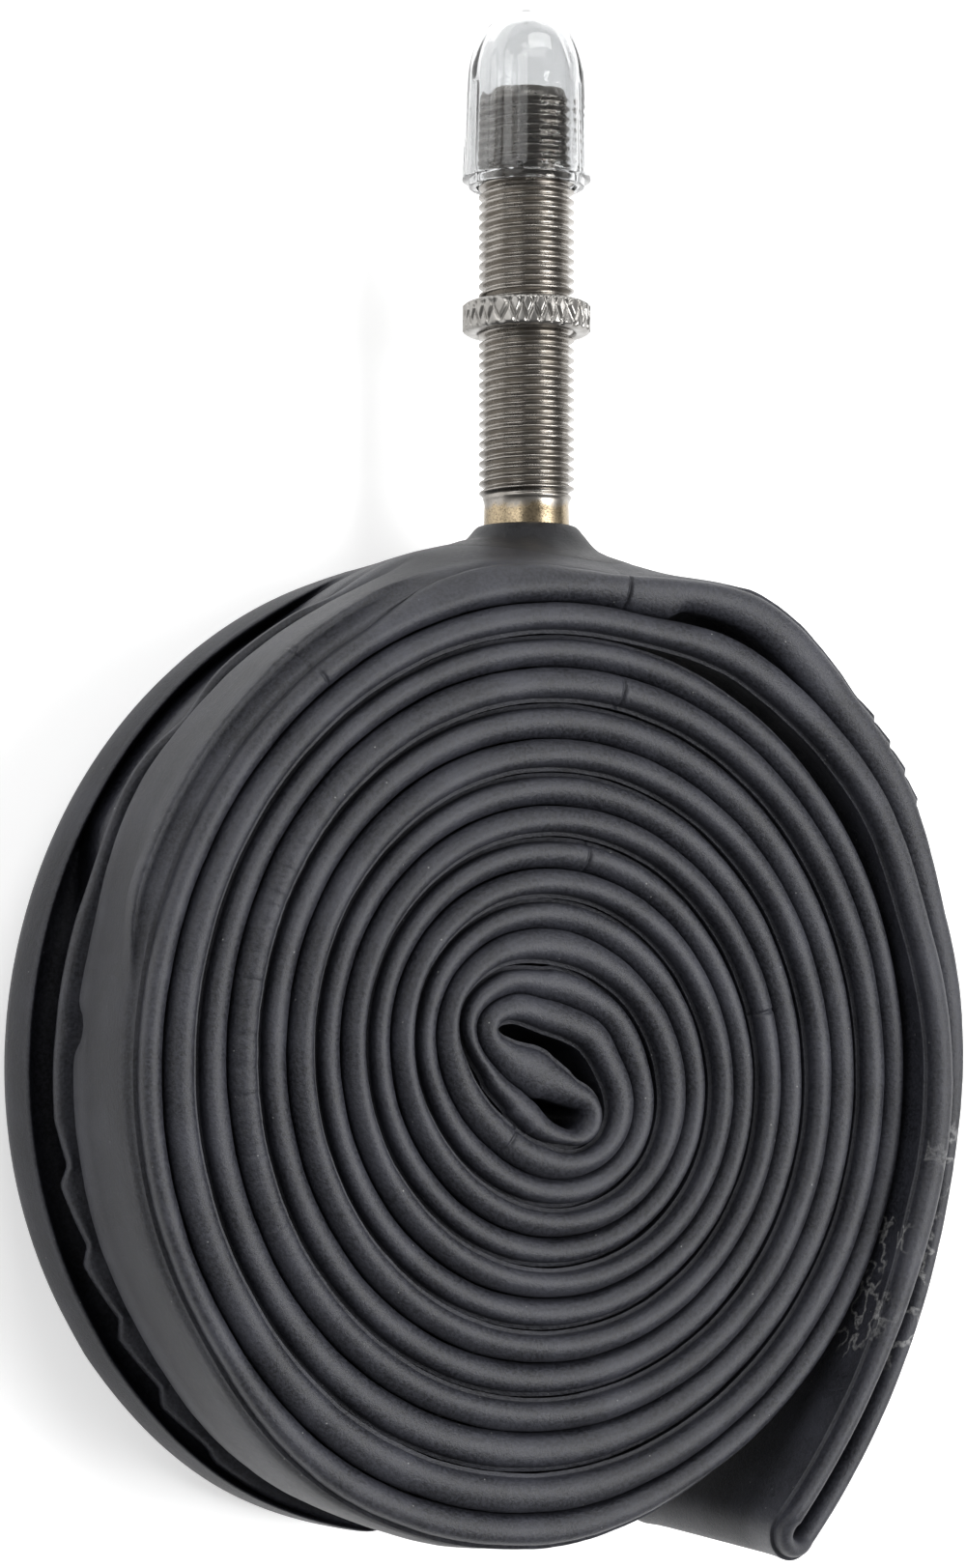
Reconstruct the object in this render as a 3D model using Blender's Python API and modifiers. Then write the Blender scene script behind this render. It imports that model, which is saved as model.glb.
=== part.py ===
"""Rolled-up bicycle inner tube with a car-type (Schrader) valve.

The butyl tube is pressed flat, doubled, and wound clockwise from its inner end to a tail loop. It lies
on its rear end face, with the axis of the roll along +Z. The valve stands out of the roll along +Y.
Lengths below are in millimetres and are scaled to metres when an object is made.
"""

import math

import bmesh
import bpy
from mathutils import Vector

MM = 0.001

# The wound band: width of the flattened tube, and the groove that divides its two strands. Turns are
# counted clockwise from +Y, seen from the front face.
BAND_WIDTH = 26.0
GROOVE_START = 0.415
GROOVE_END = 7.415
STATIONS_PER_TURN = 40
STRAND_GAP = 0.3
CAP_STEPS = 8

# The first turn is elongated, because the band is folded round itself there: radius every 30 degrees.
NUCLEUS_RADII = (7.8, 4.45, 2.8, 2.5, 2.72, 4.1, 6.8, 6.6, 5.4, 5.35, 6.25, 6.8, 8.0, 8.5)
NUCLEUS_FIRST_DEG = 120.0
NUCLEUS_STEP_DEG = 30.0
NUCLEUS_BLEND = (1.1, 1.35)
NUCLEUS_HALF_STRANDS = (1.05, 1.0, 1.4, 1.7, 1.65, 1.2, 0.75, 1.12, 1.25, 1.2, 1.05, 0.93, 0.93, 0.95)
INNER_STRAND_MEETS = (1.36, 1.52)
START_SLIT = 0.85
START_SLIT_CLOSES = 0.6

# The outer strand of the last turn is thinner than the pitch would make it.
LAST_TURN_THINS = (6.1, 6.4)
LAST_TURN_HALF_STRAND = 1.12

# The tail: where it leaves the roll, how far its loop reaches out and stands forward, and its opening.
TAIL_LEAVES = 7.28
TAIL_THINS = (7.05, 7.25)
TAIL_REACH = 4.2
TAIL_HALF_STRAND = 1.0
TAIL_LOOP_OPENING = 0.75
TAIL_FORWARD_INNER = 3.0
TAIL_FORWARD_OUTER = 0.4
LAST_TURN_TIGHTER = 0.9

# The last turn sags a little at the bottom, and lies loose from the valve on to the tail.
SAG = 0.5
SAG_RANGES = ((6.42, 6.5), (6.57, 6.66))
SAG_THICKER = 0.3
LOOSE = (1.5, 0.5)
LOOSE_STARTS = (7.033, 7.083)
LOOSE_LESSENS = (7.2, 7.3)

# The stiff valve base keeps the outer strand straight, so it stands off the roll beside it.
BUMP_AT_DEG = 24.0
BUMP_HALF_WIDTH_DEG = 22.0
BUMP_HEIGHT = 1.0
BUMP_THICKER = 0.4
BUMP_THICKER_AT_DEG = 30.0
BUMP_THICKER_HALF_WIDTH_DEG = 50.0

# At its rear end the roll spreads to the left, and the outside of the last turn has a thick lip there.
FLARE = 0.8
LIP_STANDS = (-0.2, 2.65, 2.4, 0.0)
SPREAD_STARTS_DEG = (-178.0, -145.0)
SPREAD_ENDS_DEG = (-22.0, 18.0)
FLARE_GROWS = (2.0, 6.7)
LIP_HEIGHTS = (4.6, 7.6, 8.5)

# The valve, with heights measured from VALVE_FOOT_Y, just outside the band.
VALVE_OFFSET_X = 4.45
VALVE_FOOT_Y = 38.7
STEM_RADIUS = 3.85
STEM_TOP = 39.4
NECK_RADIUS = 3.45
NECK_TOP = 6.4
FOOT_RADIUS = 4.2
AIR_WAY_RADIUS = 1.9
CORE_BORE_RADIUS = 2.65
BOSS_TOP = 4.6
PATCH_RADIUS = 10.5
RUBBER_CLEARANCE = 0.3
NUT_RADIUS = 5.15
NUT_BOTTOM = 20.1
NUT_HEIGHT = 2.5
CAP_BOTTOM = 31.9
CAP_TOP = 46.2
CAP_BORE_RADIUS = 4.05

# The valve core, with depths measured down from the top of the stem.
PIN_RADIUS = 0.5
PIN_TOP = 0.5
PIN_BOTTOM = 14.7
SPRING_TOP = 7.7
SPRING_BOTTOM = 11.4
SPRING_RADIUS = 0.82
SPRING_WIRE_RADIUS = 0.11
SPRING_TURNS = 5
SPRING_POINTS_PER_TURN = 12


def clear_scene():
    for old in list(bpy.data.objects):
        bpy.data.objects.remove(old, do_unlink=True)


def new_collection(name):
    collection = bpy.data.collections.new(name)
    bpy.context.scene.collection.children.link(collection)
    return collection


def make_material(name, colour, roughness, metallic=0.0, alpha=1.0):
    material = bpy.data.materials.new(name)
    material.use_nodes = True
    shader = material.node_tree.nodes["Principled BSDF"]
    shader.inputs["Base Color"].default_value = (*colour, 1.0)
    shader.inputs["Roughness"].default_value = roughness
    shader.inputs["Metallic"].default_value = metallic
    shader.inputs["Alpha"].default_value = alpha
    return material


def smooth_step(low, high, value):
    x = min(1.0, max(0.0, (value - low) / (high - low)))
    return x * x * (3.0 - 2.0 * x)


# ---------------------------------------------------------------- the wound path


def wound_radius(turn):
    """Radius of the groove outside the nucleus: it grows with each turn, a little oval and off centre."""
    angle = 2.0 * math.pi * turn
    start = math.exp(-turn)
    mean = 4.45 + 3.0 * turn + 0.2 * turn * turn - 5.04 * start
    drift = (0.13 - 0.29 * start) * math.cos(angle) + (0.85 - 2.57 * start) * math.sin(angle)
    upright_oval = (-0.56 + 0.3 * turn + 1.07 * start) * math.cos(2.0 * angle)
    slanting_oval = (-0.82 + 0.154 * turn - 1.95 * start) * math.sin(2.0 * angle)
    return mean + drift + upright_oval + slanting_oval


def nucleus_value(values, turn):
    """A smooth curve through values that are NUCLEUS_STEP_DEG apart."""
    place = (turn * 360.0 - NUCLEUS_FIRST_DEG) / NUCLEUS_STEP_DEG
    i = min(max(int(math.floor(place)), 0), len(values) - 2)
    f = place - i
    before, here, there, after = (values[min(max(i + k, 0), len(values) - 1)] for k in (-1, 0, 1, 2))
    cubic = 3.0 * (here - there) + after - before
    return here + 0.5 * f * (there - before + f * (2.0 * before - 5.0 * here + 4.0 * there - after + f * cubic))


def sagging(turn):
    return smooth_step(*SAG_RANGES[0], turn) - smooth_step(*SAG_RANGES[1], turn)


def roll_radius(turn):
    """Radius of the groove, without the tail and the loose part of the last turn."""
    share = smooth_step(*NUCLEUS_BLEND, turn)
    radius = (1.0 - share) * nucleus_value(NUCLEUS_RADII, turn) + share * wound_radius(turn)
    return radius - LAST_TURN_TIGHTER * smooth_step(6.7, 6.95, turn) + SAG * sagging(turn)


def groove_radius(turn):
    radius = roll_radius(turn) + LOOSE[0] * smooth_step(*LOOSE_STARTS, turn)
    radius -= (LOOSE[0] - LOOSE[1]) * smooth_step(*LOOSE_LESSENS, turn)
    if turn > TAIL_LEAVES:
        radius += TAIL_REACH * ((turn - TAIL_LEAVES) / (GROOVE_END - TAIL_LEAVES)) ** 2.5
    return radius


def groove_point(turn):
    angle = 2.0 * math.pi * turn
    return Vector((math.sin(angle), math.cos(angle))) * groove_radius(turn)


def groove_outward(turn):
    """Unit normal of the groove, on the side away from the centre."""
    along = groove_point(turn + 0.002) - groove_point(turn - 0.002)
    return Vector((-along.y, along.x)).normalized()


def slit(turn):
    """Half the opening that the groove has in the fold at each of its ends."""
    start = START_SLIT * (1.0 - smooth_step(GROOVE_START, START_SLIT_CLOSES, turn))
    end = TAIL_LOOP_OPENING * smooth_step(GROOVE_END - 0.19, GROOVE_END - 0.02, turn)
    return start + end


def half_strand(turn, outer):
    """Half the thickness that the outer or the inner strand has beside the groove."""
    angle = 2.0 * math.pi * turn
    slope = Vector((math.sin(angle), math.cos(angle))).dot(groove_outward(turn))
    if outer:
        half = ((roll_radius(turn + 1.0) - groove_radius(turn)) * slope - slit(turn)) / 4.0
        last = smooth_step(*LAST_TURN_THINS, turn)
        thicker = BUMP_THICKER * raised_cosine(turn, BUMP_THICKER_AT_DEG, BUMP_THICKER_HALF_WIDTH_DEG)
        thicker += SAG_THICKER * sagging(turn)
        half = last * (LAST_TURN_HALF_STRAND + thicker) + (1.0 - last) * half
    else:
        before = max(turn - 1.0, GROOVE_START)
        share = smooth_step(*INNER_STRAND_MEETS, turn)
        half = (1.0 - share) * nucleus_value(NUCLEUS_HALF_STRANDS, turn)
        half += share * ((roll_radius(turn) - groove_radius(before)) * slope - slit(before)) / 4.0
    tail = smooth_step(*TAIL_THINS, turn)
    return tail * TAIL_HALF_STRAND + (1.0 - tail) * half


def raised_cosine(turn, at_deg, half_width_deg):
    """One smooth hump on the last turn, 1 at its middle."""
    away = (turn * 360.0 - 7.0 * 360.0 - at_deg) / half_width_deg
    return math.cos(away * math.pi / 2.0) ** 2 if abs(away) < 1.0 else 0.0


def bump(turn):
    """How far the outer strand stands off the roll beside the valve."""
    return BUMP_HEIGHT * raised_cosine(turn, BUMP_AT_DEG, BUMP_HALF_WIDTH_DEG)


def spread_share(turn):
    """How much of the spread at the rear end there is in this direction."""
    degree = (turn * 360.0 + 160.0) % 360.0 - 160.0
    degree = degree - 360.0 if degree > 180.0 else degree
    return smooth_step(*SPREAD_STARTS_DEG, degree) * (1.0 - smooth_step(*SPREAD_ENDS_DEG, degree))


def flare(turn, height):
    """How far a strand spreads at this height."""
    low, high = FLARE_GROWS
    grown = min(1.0, max(0.0, (turn - low) / (high - low)))
    return FLARE * grown * spread_share(turn) * max(0.0, 1.0 - height / LIP_HEIGHTS[-1])


def lip(turn, height):
    """How far the lip stands out of the last turn at this height."""
    heights = (0.0, *LIP_HEIGHTS)
    for low, high, start, end in zip(heights, heights[1:], LIP_STANDS, LIP_STANDS[1:]):
        if height < high:
            return spread_share(turn) * (start + (end - start) * (height - low) / (high - low))
    return 0.0


def strand_station(turn, outer):
    """Centre, normal, half thickness and forward shift of a strand, its turn, and its side with a lip."""
    normal = groove_outward(turn)
    half = half_strand(turn, outer)
    offset = half + slit(turn)
    forward = smooth_step(7.08, 7.3, turn) * (TAIL_FORWARD_OUTER if outer else TAIL_FORWARD_INNER)
    if outer:
        lip_side = 1.0 if turn > 6.4 else 0.0
        return groove_point(turn) + normal * (offset + bump(turn)), normal, half, forward, turn, lip_side
    return groove_point(turn) - normal * offset, normal, half, forward, turn, 0.0


def band_stations():
    """The closed loop of the flattened tube: out along the inner strand, and back along the outer one."""
    count = round((GROOVE_END - GROOVE_START) * STATIONS_PER_TURN)
    turns = [GROOVE_START + (GROOVE_END - GROOVE_START) * i / count for i in range(count + 1)]
    inner = [strand_station(turn, False) for turn in turns]
    outer = [strand_station(turn, True) for turn in reversed(turns)]
    outer = [(centre, -normal, half, forward, turn, -side) for centre, normal, half, forward, turn, side in outer]
    return inner + fold_stations(inner[-1], outer[0]) + outer + fold_stations(outer[-1], inner[0])


def fold_stations(first, last):
    """Stations of the half circle that joins two strands, with the normal on the same side of the band."""
    centre = (first[0] + last[0]) / 2.0
    radius = (last[0] - first[0]).length / 2.0
    across = (first[0] - centre).normalized()
    along = Vector((first[1].y, -first[1].x))
    stations = []
    for step in range(1, CAP_STEPS):
        angle = math.pi * step / CAP_STEPS
        share = step / CAP_STEPS
        out = across * math.cos(angle) + along * math.sin(angle)
        side = 1.0 if first[1].dot(across) > 0.0 else -1.0
        half = first[2] * (1.0 - share) + last[2] * share
        forward = first[3] * (1.0 - share) + last[3] * share
        stations.append((centre + out * radius, out * side, half, forward, first[4], 0.0))
    return stations


# ---------------------------------------------------------------- solids


def mesh_object(name, mesh, collection, material):
    obj = bpy.data.objects.new(name, mesh)
    collection.objects.link(obj)
    if material:
        obj.data.materials.append(material)
    return obj


def wound_band(name, collection, material):
    """The flattened tube as one closed strap, swept round its loop, with the rear of its section flared."""
    mesh = bpy.data.meshes.new(name)
    shape = bmesh.new()
    rings = []
    heights = (0.0, *LIP_HEIGHTS, BAND_WIDTH)
    section = [(1.0, height) for height in heights] + [(-1.0, height) for height in heights[::-1]]
    for centre, normal, half, forward, turn, lip_side in band_stations():
        reach = normal * (half - STRAND_GAP / 2.0)
        corners = []
        for side, height in section:
            spread = flare(turn, height) + (lip(turn, height) if side == lip_side else 0.0)
            place = centre + reach * side + centre.normalized() * spread
            corners.append(shape.verts.new(Vector((place.x, place.y, height + forward)) * MM))
        rings.append(corners)
    for i, ring in enumerate(rings):
        following = rings[(i + 1) % len(rings)]
        for k in range(len(section)):
            shape.faces.new((ring[k], ring[k - 1], following[k - 1], following[k]))
    bmesh.ops.recalc_face_normals(shape, faces=shape.faces)
    shape.to_mesh(mesh)
    shape.free()
    return mesh_object(name, mesh, collection, material)


def turned(name, profile, segments, collection, material, parent, closed=True):
    """A turned piece: its profile of (radius, height) runs down the outer side, round its parent's axis."""
    mesh = bpy.data.meshes.new(name)
    points = [(radius * MM, 0.0, height * MM) for radius, height in profile]
    edges = [(i, i + 1) for i in range(len(points) - 1)]
    if closed:
        edges.append((len(points) - 1, 0))
    mesh.from_pydata(points, edges, [])
    obj = mesh_object(name, mesh, collection, material)
    screw = obj.modifiers.new("Turn", "SCREW")
    screw.steps = segments
    screw.render_steps = segments
    screw.use_merge_vertices = True
    screw.merge_threshold = 1e-6
    screw.use_smooth_shade = True
    obj.parent = parent
    return obj


def cut_by(obj, cutter):
    cut = obj.modifiers.new("Cut", "BOOLEAN")
    cut.operation = "DIFFERENCE"
    cut.object = cutter


def helper(obj):
    obj.hide_render = True
    obj.display_type = "WIRE"
    return obj


def box_cutter(name, size, centre, collection, parent):
    mesh = bpy.data.meshes.new(name)
    shape = bmesh.new()
    bmesh.ops.create_cube(shape, size=1.0)
    for vert in shape.verts:
        vert.co = Vector(vert.co[i] * size[i] + centre[i] for i in range(3)) * MM
    shape.to_mesh(mesh)
    shape.free()
    obj = helper(mesh_object(name, mesh, collection, None))
    obj.parent = parent
    return obj


def outer_surface(degree, height):
    """A point of the outside of the last turn, near the valve."""
    centre, normal, half, _, turn, _ = strand_station(7.0 + degree / 360.0, True)
    return centre + normal * half + centre.normalized() * (flare(turn, height) + lip(turn, height))


def outside_y(x, height):
    """How high the outside of the band lies at this place near the valve."""
    low, high = -60.0, 60.0
    for _ in range(30):
        middle = (low + high) / 2.0
        if outer_surface(middle, height).x < x:
            low = middle
        else:
            high = middle
    return outer_surface(low, height).y


def band_former(collection, parent):
    """Cutter with the shape of the roll under the valve, so that the valve base follows the band."""
    mesh = bpy.data.meshes.new("band_former")
    shape = bmesh.new()
    rings = []
    for height in (-1.0, 0.0, *LIP_HEIGHTS, BAND_WIDTH + 1.0):
        ring = [shape.verts.new(Vector((0.0, 0.0, height)) * MM)]
        for degree in range(-40, 61, 4):
            place = outer_surface(degree, max(0.0, height))
            place += place.normalized() * RUBBER_CLEARANCE
            ring.append(shape.verts.new(Vector((place.x, place.y, height)) * MM))
        rings.append(ring)
    for low, high in zip(rings, rings[1:]):
        for k in range(len(low)):
            shape.faces.new((low[k], low[k - 1], high[k - 1], high[k]))
    shape.faces.new(rings[0])
    shape.faces.new(rings[-1][::-1])
    bmesh.ops.recalc_face_normals(shape, faces=shape.faces)
    shape.to_mesh(mesh)
    shape.free()
    obj = helper(mesh_object("band_former", mesh, collection, None))
    obj.parent = parent
    return obj


def pin_spring(collection, material, parent):
    curve = bpy.data.curves.new("pin_spring", "CURVE")
    curve.dimensions = "3D"
    curve.bevel_depth = SPRING_WIRE_RADIUS * MM
    curve.bevel_resolution = 2
    curve.use_fill_caps = True
    count = SPRING_TURNS * SPRING_POINTS_PER_TURN + 1
    spline = curve.splines.new("POLY")
    spline.points.add(count - 1)
    low = STEM_TOP - SPRING_BOTTOM + SPRING_WIRE_RADIUS
    high = STEM_TOP - SPRING_TOP - SPRING_WIRE_RADIUS
    for i, point in enumerate(spline.points):
        angle = 2.0 * math.pi * i / SPRING_POINTS_PER_TURN
        height = low + (high - low) * i / (count - 1)
        x, y = SPRING_RADIUS * math.cos(angle), SPRING_RADIUS * math.sin(angle)
        point.co = (x * MM, y * MM, height * MM, 1.0)
    obj = bpy.data.objects.new("pin_spring", curve)
    obj.data.materials.append(material)
    collection.objects.link(obj)
    obj.parent = parent
    return obj


# ---------------------------------------------------------------- the valve


def valve_base_patch(collection, cutters, material, parent, roll):
    """A boss that spreads into a round pad, bent round the roll and with its underside cut to follow it."""
    profile = [
        (NECK_RADIUS + 0.2, BOSS_TOP),
        (4.3, BOSS_TOP - 0.25),
        (5.2, BOSS_TOP - 1.4),
        (6.6, BOSS_TOP - 1.9),
        (8.6, BOSS_TOP - 2.3),
        (PATCH_RADIUS, BOSS_TOP - 2.8),
        (PATCH_RADIUS, -7.0),
        (FOOT_RADIUS + 0.3, -7.0),
        (FOOT_RADIUS + 0.3, 2.3),
        (NECK_RADIUS + 0.2, 2.3),
    ]
    pattern = turned("patch_pattern", profile, 40, cutters, None, None)
    graph = bpy.context.evaluated_depsgraph_get()
    mesh = bpy.data.meshes.new_from_object(pattern.evaluated_get(graph))
    bpy.data.objects.remove(pattern, do_unlink=True)
    level = outside_y(VALVE_OFFSET_X, BAND_WIDTH / 2.0)
    for vert in mesh.vertices:
        place = vert.co / MM
        share = smooth_step(4.8, 8.6, math.hypot(place.x, place.y))
        here = outside_y(place.x + VALVE_OFFSET_X, BAND_WIDTH / 2.0)
        raised = lip(7.0, LIP_HEIGHTS[0]) * smooth_step(1.5, 9.0, place.y)
        vert.co.z += share * (here - level + raised) * MM
    mesh.name = "valve_base_patch"
    patch = mesh_object("valve_base_patch", mesh, collection, material)
    patch.parent = parent
    cut_by(patch, band_former(cutters, roll))
    return patch


def valve_stem(collection, material, parent):
    seat_top = STEM_TOP - 7.6
    profile = [
        (CORE_BORE_RADIUS + 0.3, STEM_TOP),
        (STEM_RADIUS - 0.7, STEM_TOP),
        (STEM_RADIUS, STEM_TOP - 0.8),
        (STEM_RADIUS, NECK_TOP + 0.4),
        (NECK_RADIUS, NECK_TOP),
        (NECK_RADIUS, 2.0),
        (FOOT_RADIUS, 2.0),
        (FOOT_RADIUS, 1.2),
        (AIR_WAY_RADIUS, 1.2),
        (AIR_WAY_RADIUS, seat_top - 1.2),
        (CORE_BORE_RADIUS, seat_top),
        (CORE_BORE_RADIUS, STEM_TOP - 0.3),
    ]
    return turned("valve_stem", profile, 40, collection, material, parent)


def rim_nut(collection, material, parent):
    top = NUT_BOTTOM + NUT_HEIGHT
    bore = STEM_RADIUS + 0.1
    profile = [
        (bore, top),
        (NUT_RADIUS - 0.3, top),
        (NUT_RADIUS, top - 0.25),
        (NUT_RADIUS, NUT_BOTTOM + 0.25),
        (NUT_RADIUS - 0.3, NUT_BOTTOM),
        (bore, NUT_BOTTOM),
    ]
    return turned("rim_nut", profile, 48, collection, material, parent)


def dome(radius, base, top, steps):
    """Quarter ellipse from the axis down to its base."""
    angles = [math.pi / 2.0 * i / steps for i in range(steps + 1)]
    return [(radius * math.sin(a), base + (top - base) * math.cos(a)) for a in angles]


def valve_cap(collection, material, parent):
    skirt_step = CAP_BOTTOM + 0.6
    outer = dome(4.78, CAP_BOTTOM + 8.6, CAP_TOP, 8)
    inner = dome(CAP_BORE_RADIUS, CAP_BOTTOM + 8.3, CAP_TOP - 0.9, 8)
    edge = [(5.2, skirt_step), (4.7, skirt_step), (4.7, CAP_BOTTOM), (CAP_BORE_RADIUS, CAP_BOTTOM)]
    profile = outer + edge + inner[::-1]
    return turned("valve_cap", profile, 40, collection, material, parent, closed=False)


def core_plug(collection, cutters, material, parent):
    top, bottom = STEM_TOP - 1.2, STEM_TOP - 5.4
    profile = [(0.95, top), (2.2, top), (2.45, top - 0.25), (2.45, bottom), (0.95, bottom)]
    plug = turned("core_plug", profile, 28, collection, material, parent)
    for side in (-1.0, 1.0):
        name = f"key_flat_{'left' if side < 0.0 else 'right'}"
        centre = (side * 2.3, 0.0, top - 0.35)
        cut_by(plug, box_cutter(name, (2.0, 6.0, 2.3), centre, cutters, parent))
    return plug


def core_barrel(collection, material, parent):
    t = STEM_TOP
    profile = [
        (0.75, t - 5.7),
        (2.3, t - 5.7),
        (2.3, t - 6.7),
        (1.45, t - 6.7),
        (1.45, t - 8.9),
        (1.65, t - 9.1),
        (1.65, t - 12.5),
        (0.75, t - 12.5),
        (0.75, t - 11.6),
        (1.15, t - 11.6),
        (1.15, t - 6.6),
        (0.75, t - 6.6),
    ]
    return turned("core_barrel", profile, 28, collection, material, parent)


def barrel_gasket(collection, material, parent):
    t = STEM_TOP
    profile = [(1.55, t - 6.9), (2.3, t - 6.9), (2.3, t - 7.5), (1.72, t - 8.7), (1.55, t - 8.7)]
    return turned("barrel_gasket", profile, 28, collection, material, parent)


def valve_pin(collection, material, parent):
    t = STEM_TOP
    profile = [
        (0.0, t - PIN_TOP),
        (0.6, t - PIN_TOP),
        (0.7, t - PIN_TOP - 0.1),
        (0.7, t - 0.9),
        (PIN_RADIUS, t - 1.0),
        (PIN_RADIUS, t - 7.0),
        (0.95, t - 7.0),
        (0.95, t - 7.5),
        (PIN_RADIUS, t - 7.5),
        (PIN_RADIUS, t - PIN_BOTTOM),
        (0.0, t - PIN_BOTTOM),
    ]
    return turned("valve_pin", profile, 20, collection, material, parent, closed=False)


def seal_cup(collection, material, parent):
    t = STEM_TOP
    profile = [
        (1.28, t - 13.0),
        (1.45, t - 13.0),
        (1.45, t - 14.1),
        (1.2, t - 14.4),
        (0.6, t - 14.4),
        (0.6, t - 13.95),
        (1.28, t - 13.95),
    ]
    return turned("seal_cup", profile, 24, collection, material, parent)


def cup_seal(collection, material, parent):
    t = STEM_TOP
    profile = [(0.6, t - 12.7), (1.1, t - 12.7), (1.18, t - 12.8), (1.18, t - 13.85), (0.6, t - 13.85)]
    return turned("cup_seal", profile, 24, collection, material, parent)


def place_empty(name, location, rotation, parent):
    empty = bpy.data.objects.new(name, None)
    bpy.context.scene.collection.objects.link(empty)
    empty.location = location
    empty.rotation_euler = rotation
    empty.parent = parent
    return empty


def roll_centre():
    """Where the roll's centre lies when the origin is at the bottom centre of the whole object's box."""
    places = []
    for centre, normal, half, _, turn, lip_side in band_stations():
        reach = normal * (half - STRAND_GAP / 2.0)
        for side in (-1.0, 1.0):
            for height in (0.0, LIP_HEIGHTS[0]):
                spread = flare(turn, height) + (lip(turn, height) if side == lip_side else 0.0)
                places.append(centre + reach * side + centre.normalized() * spread)
    low_x, high_x = min(p.x for p in places), max(p.x for p in places)
    low_y, high_y = min(p.y for p in places), VALVE_FOOT_Y + CAP_TOP
    return Vector((-(low_x + high_x) / 2.0, -(low_y + high_y) / 2.0, 0.0))


def build():
    clear_scene()
    parts = new_collection("inner_tube")
    cutters = new_collection("cutters")
    rubber = make_material("tube_rubber", (0.028, 0.03, 0.034), 0.55)
    base_rubber = make_material("valve_base_rubber", (0.03, 0.032, 0.035), 0.6)
    nickel = make_material("nickelled_brass", (0.48, 0.45, 0.41), 0.35, 1.0)
    bright_nickel = make_material("nut_nickel", (0.7, 0.69, 0.67), 0.25, 1.0)
    brass = make_material("core_brass", (0.72, 0.55, 0.28), 0.35, 1.0)
    pin_brass = make_material("pin_brass", (0.76, 0.6, 0.34), 0.3, 1.0)
    cup_brass = make_material("cup_brass", (0.7, 0.54, 0.3), 0.4, 1.0)
    steel = make_material("spring_steel", (0.62, 0.62, 0.63), 0.3, 1.0)
    seal = make_material("seal_rubber", (0.04, 0.04, 0.045), 0.7)
    gasket = make_material("gasket_red", (0.45, 0.05, 0.04), 0.55)
    clear = make_material("clear_plastic", (0.9, 0.92, 0.93), 0.12, 0.0, 0.35)

    roll = place_empty("roll_axis", roll_centre() * MM, (0.0, 0.0, 0.0), None)
    foot = Vector((VALVE_OFFSET_X, VALVE_FOOT_Y, BAND_WIDTH / 2.0)) * MM
    valve = place_empty("valve_axis", foot, (-math.pi / 2.0, 0.0, 0.0), roll)

    wound_band("tube_body", parts, rubber).parent = roll
    valve_base_patch(parts, cutters, base_rubber, valve, roll)
    valve_stem(parts, nickel, valve)
    rim_nut(parts, bright_nickel, valve)
    valve_cap(parts, clear, valve)
    core_plug(parts, cutters, brass, valve)
    core_barrel(parts, brass, valve)
    barrel_gasket(parts, gasket, valve)
    valve_pin(parts, pin_brass, valve)
    pin_spring(parts, steel, valve)
    seal_cup(parts, cup_brass, valve)
    cup_seal(parts, seal, valve)


build()
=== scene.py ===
import math

import bmesh
import bpy
import numpy as np
from mathutils import Matrix, Vector


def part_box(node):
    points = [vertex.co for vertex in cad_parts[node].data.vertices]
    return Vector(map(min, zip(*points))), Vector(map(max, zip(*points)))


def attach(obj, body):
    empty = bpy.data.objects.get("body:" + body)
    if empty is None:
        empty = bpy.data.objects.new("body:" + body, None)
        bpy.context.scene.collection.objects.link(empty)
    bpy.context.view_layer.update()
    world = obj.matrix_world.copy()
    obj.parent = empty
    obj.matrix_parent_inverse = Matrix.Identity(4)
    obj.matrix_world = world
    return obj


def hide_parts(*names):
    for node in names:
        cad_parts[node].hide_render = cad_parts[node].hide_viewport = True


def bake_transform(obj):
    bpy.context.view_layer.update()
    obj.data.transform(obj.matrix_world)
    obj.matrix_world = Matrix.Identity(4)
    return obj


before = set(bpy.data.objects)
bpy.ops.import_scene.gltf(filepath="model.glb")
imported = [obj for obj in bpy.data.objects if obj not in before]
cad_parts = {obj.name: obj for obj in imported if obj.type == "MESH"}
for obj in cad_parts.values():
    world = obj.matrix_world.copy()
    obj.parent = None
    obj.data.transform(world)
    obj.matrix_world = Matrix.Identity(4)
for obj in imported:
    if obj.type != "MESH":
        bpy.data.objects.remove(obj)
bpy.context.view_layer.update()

MM = 0.001

# ---------------- places taken from the frame
STEM_LOW, STEM_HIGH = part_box("valve_stem")
VALVE_X = (STEM_LOW.x + STEM_HIGH.x) / 2.0 / MM
VALVE_Z = (STEM_LOW.z + STEM_HIGH.z) / 2.0 / MM
STEM_TOP = 39.4
FOOT_Y = STEM_HIGH.y / MM - STEM_TOP
VALVE_OFFSET_X = 4.45
VALVE_FOOT_Y = 38.7
ROLL_X = VALVE_X - VALVE_OFFSET_X
ROLL_Y = FOOT_Y - VALVE_FOOT_Y

# ---------------- the wound path
# A place along the band is a number of turns, clockwise from the top as seen from the front. The path
# is the solids' own, except in the first turn and a half and in the loose end of the last turn, where
# it differs by up to a millimetre.
BAND_WIDTH = 26.0
GROOVE_START = 0.415
GROOVE_END = 7.415
NUCLEUS_RADII = (7.8, 4.45, 2.8, 2.5, 2.72, 4.1, 6.8, 6.6, 5.4, 5.35, 6.25, 6.8, 8.0, 8.5)
NUCLEUS_FIRST_DEG = 120.0
NUCLEUS_STEP_DEG = 30.0
NUCLEUS_BLEND = (1.1, 1.35)
NUCLEUS_HALF_STRANDS = (1.1, 1.1, 1.55, 1.88, 1.88, 1.45, 0.8, 1.12, 1.3, 1.36, 1.36, 1.25, 1.1, 1.0)
INNER_STRAND_MEETS = (1.36, 1.52)
START_SLIT = 0.85
START_SLIT_CLOSES = 0.6
LAST_TURN_THINS = (6.1, 6.4)
LAST_TURN_HALF_STRAND = 1.12
TAIL_LEAVES = 7.28
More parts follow.
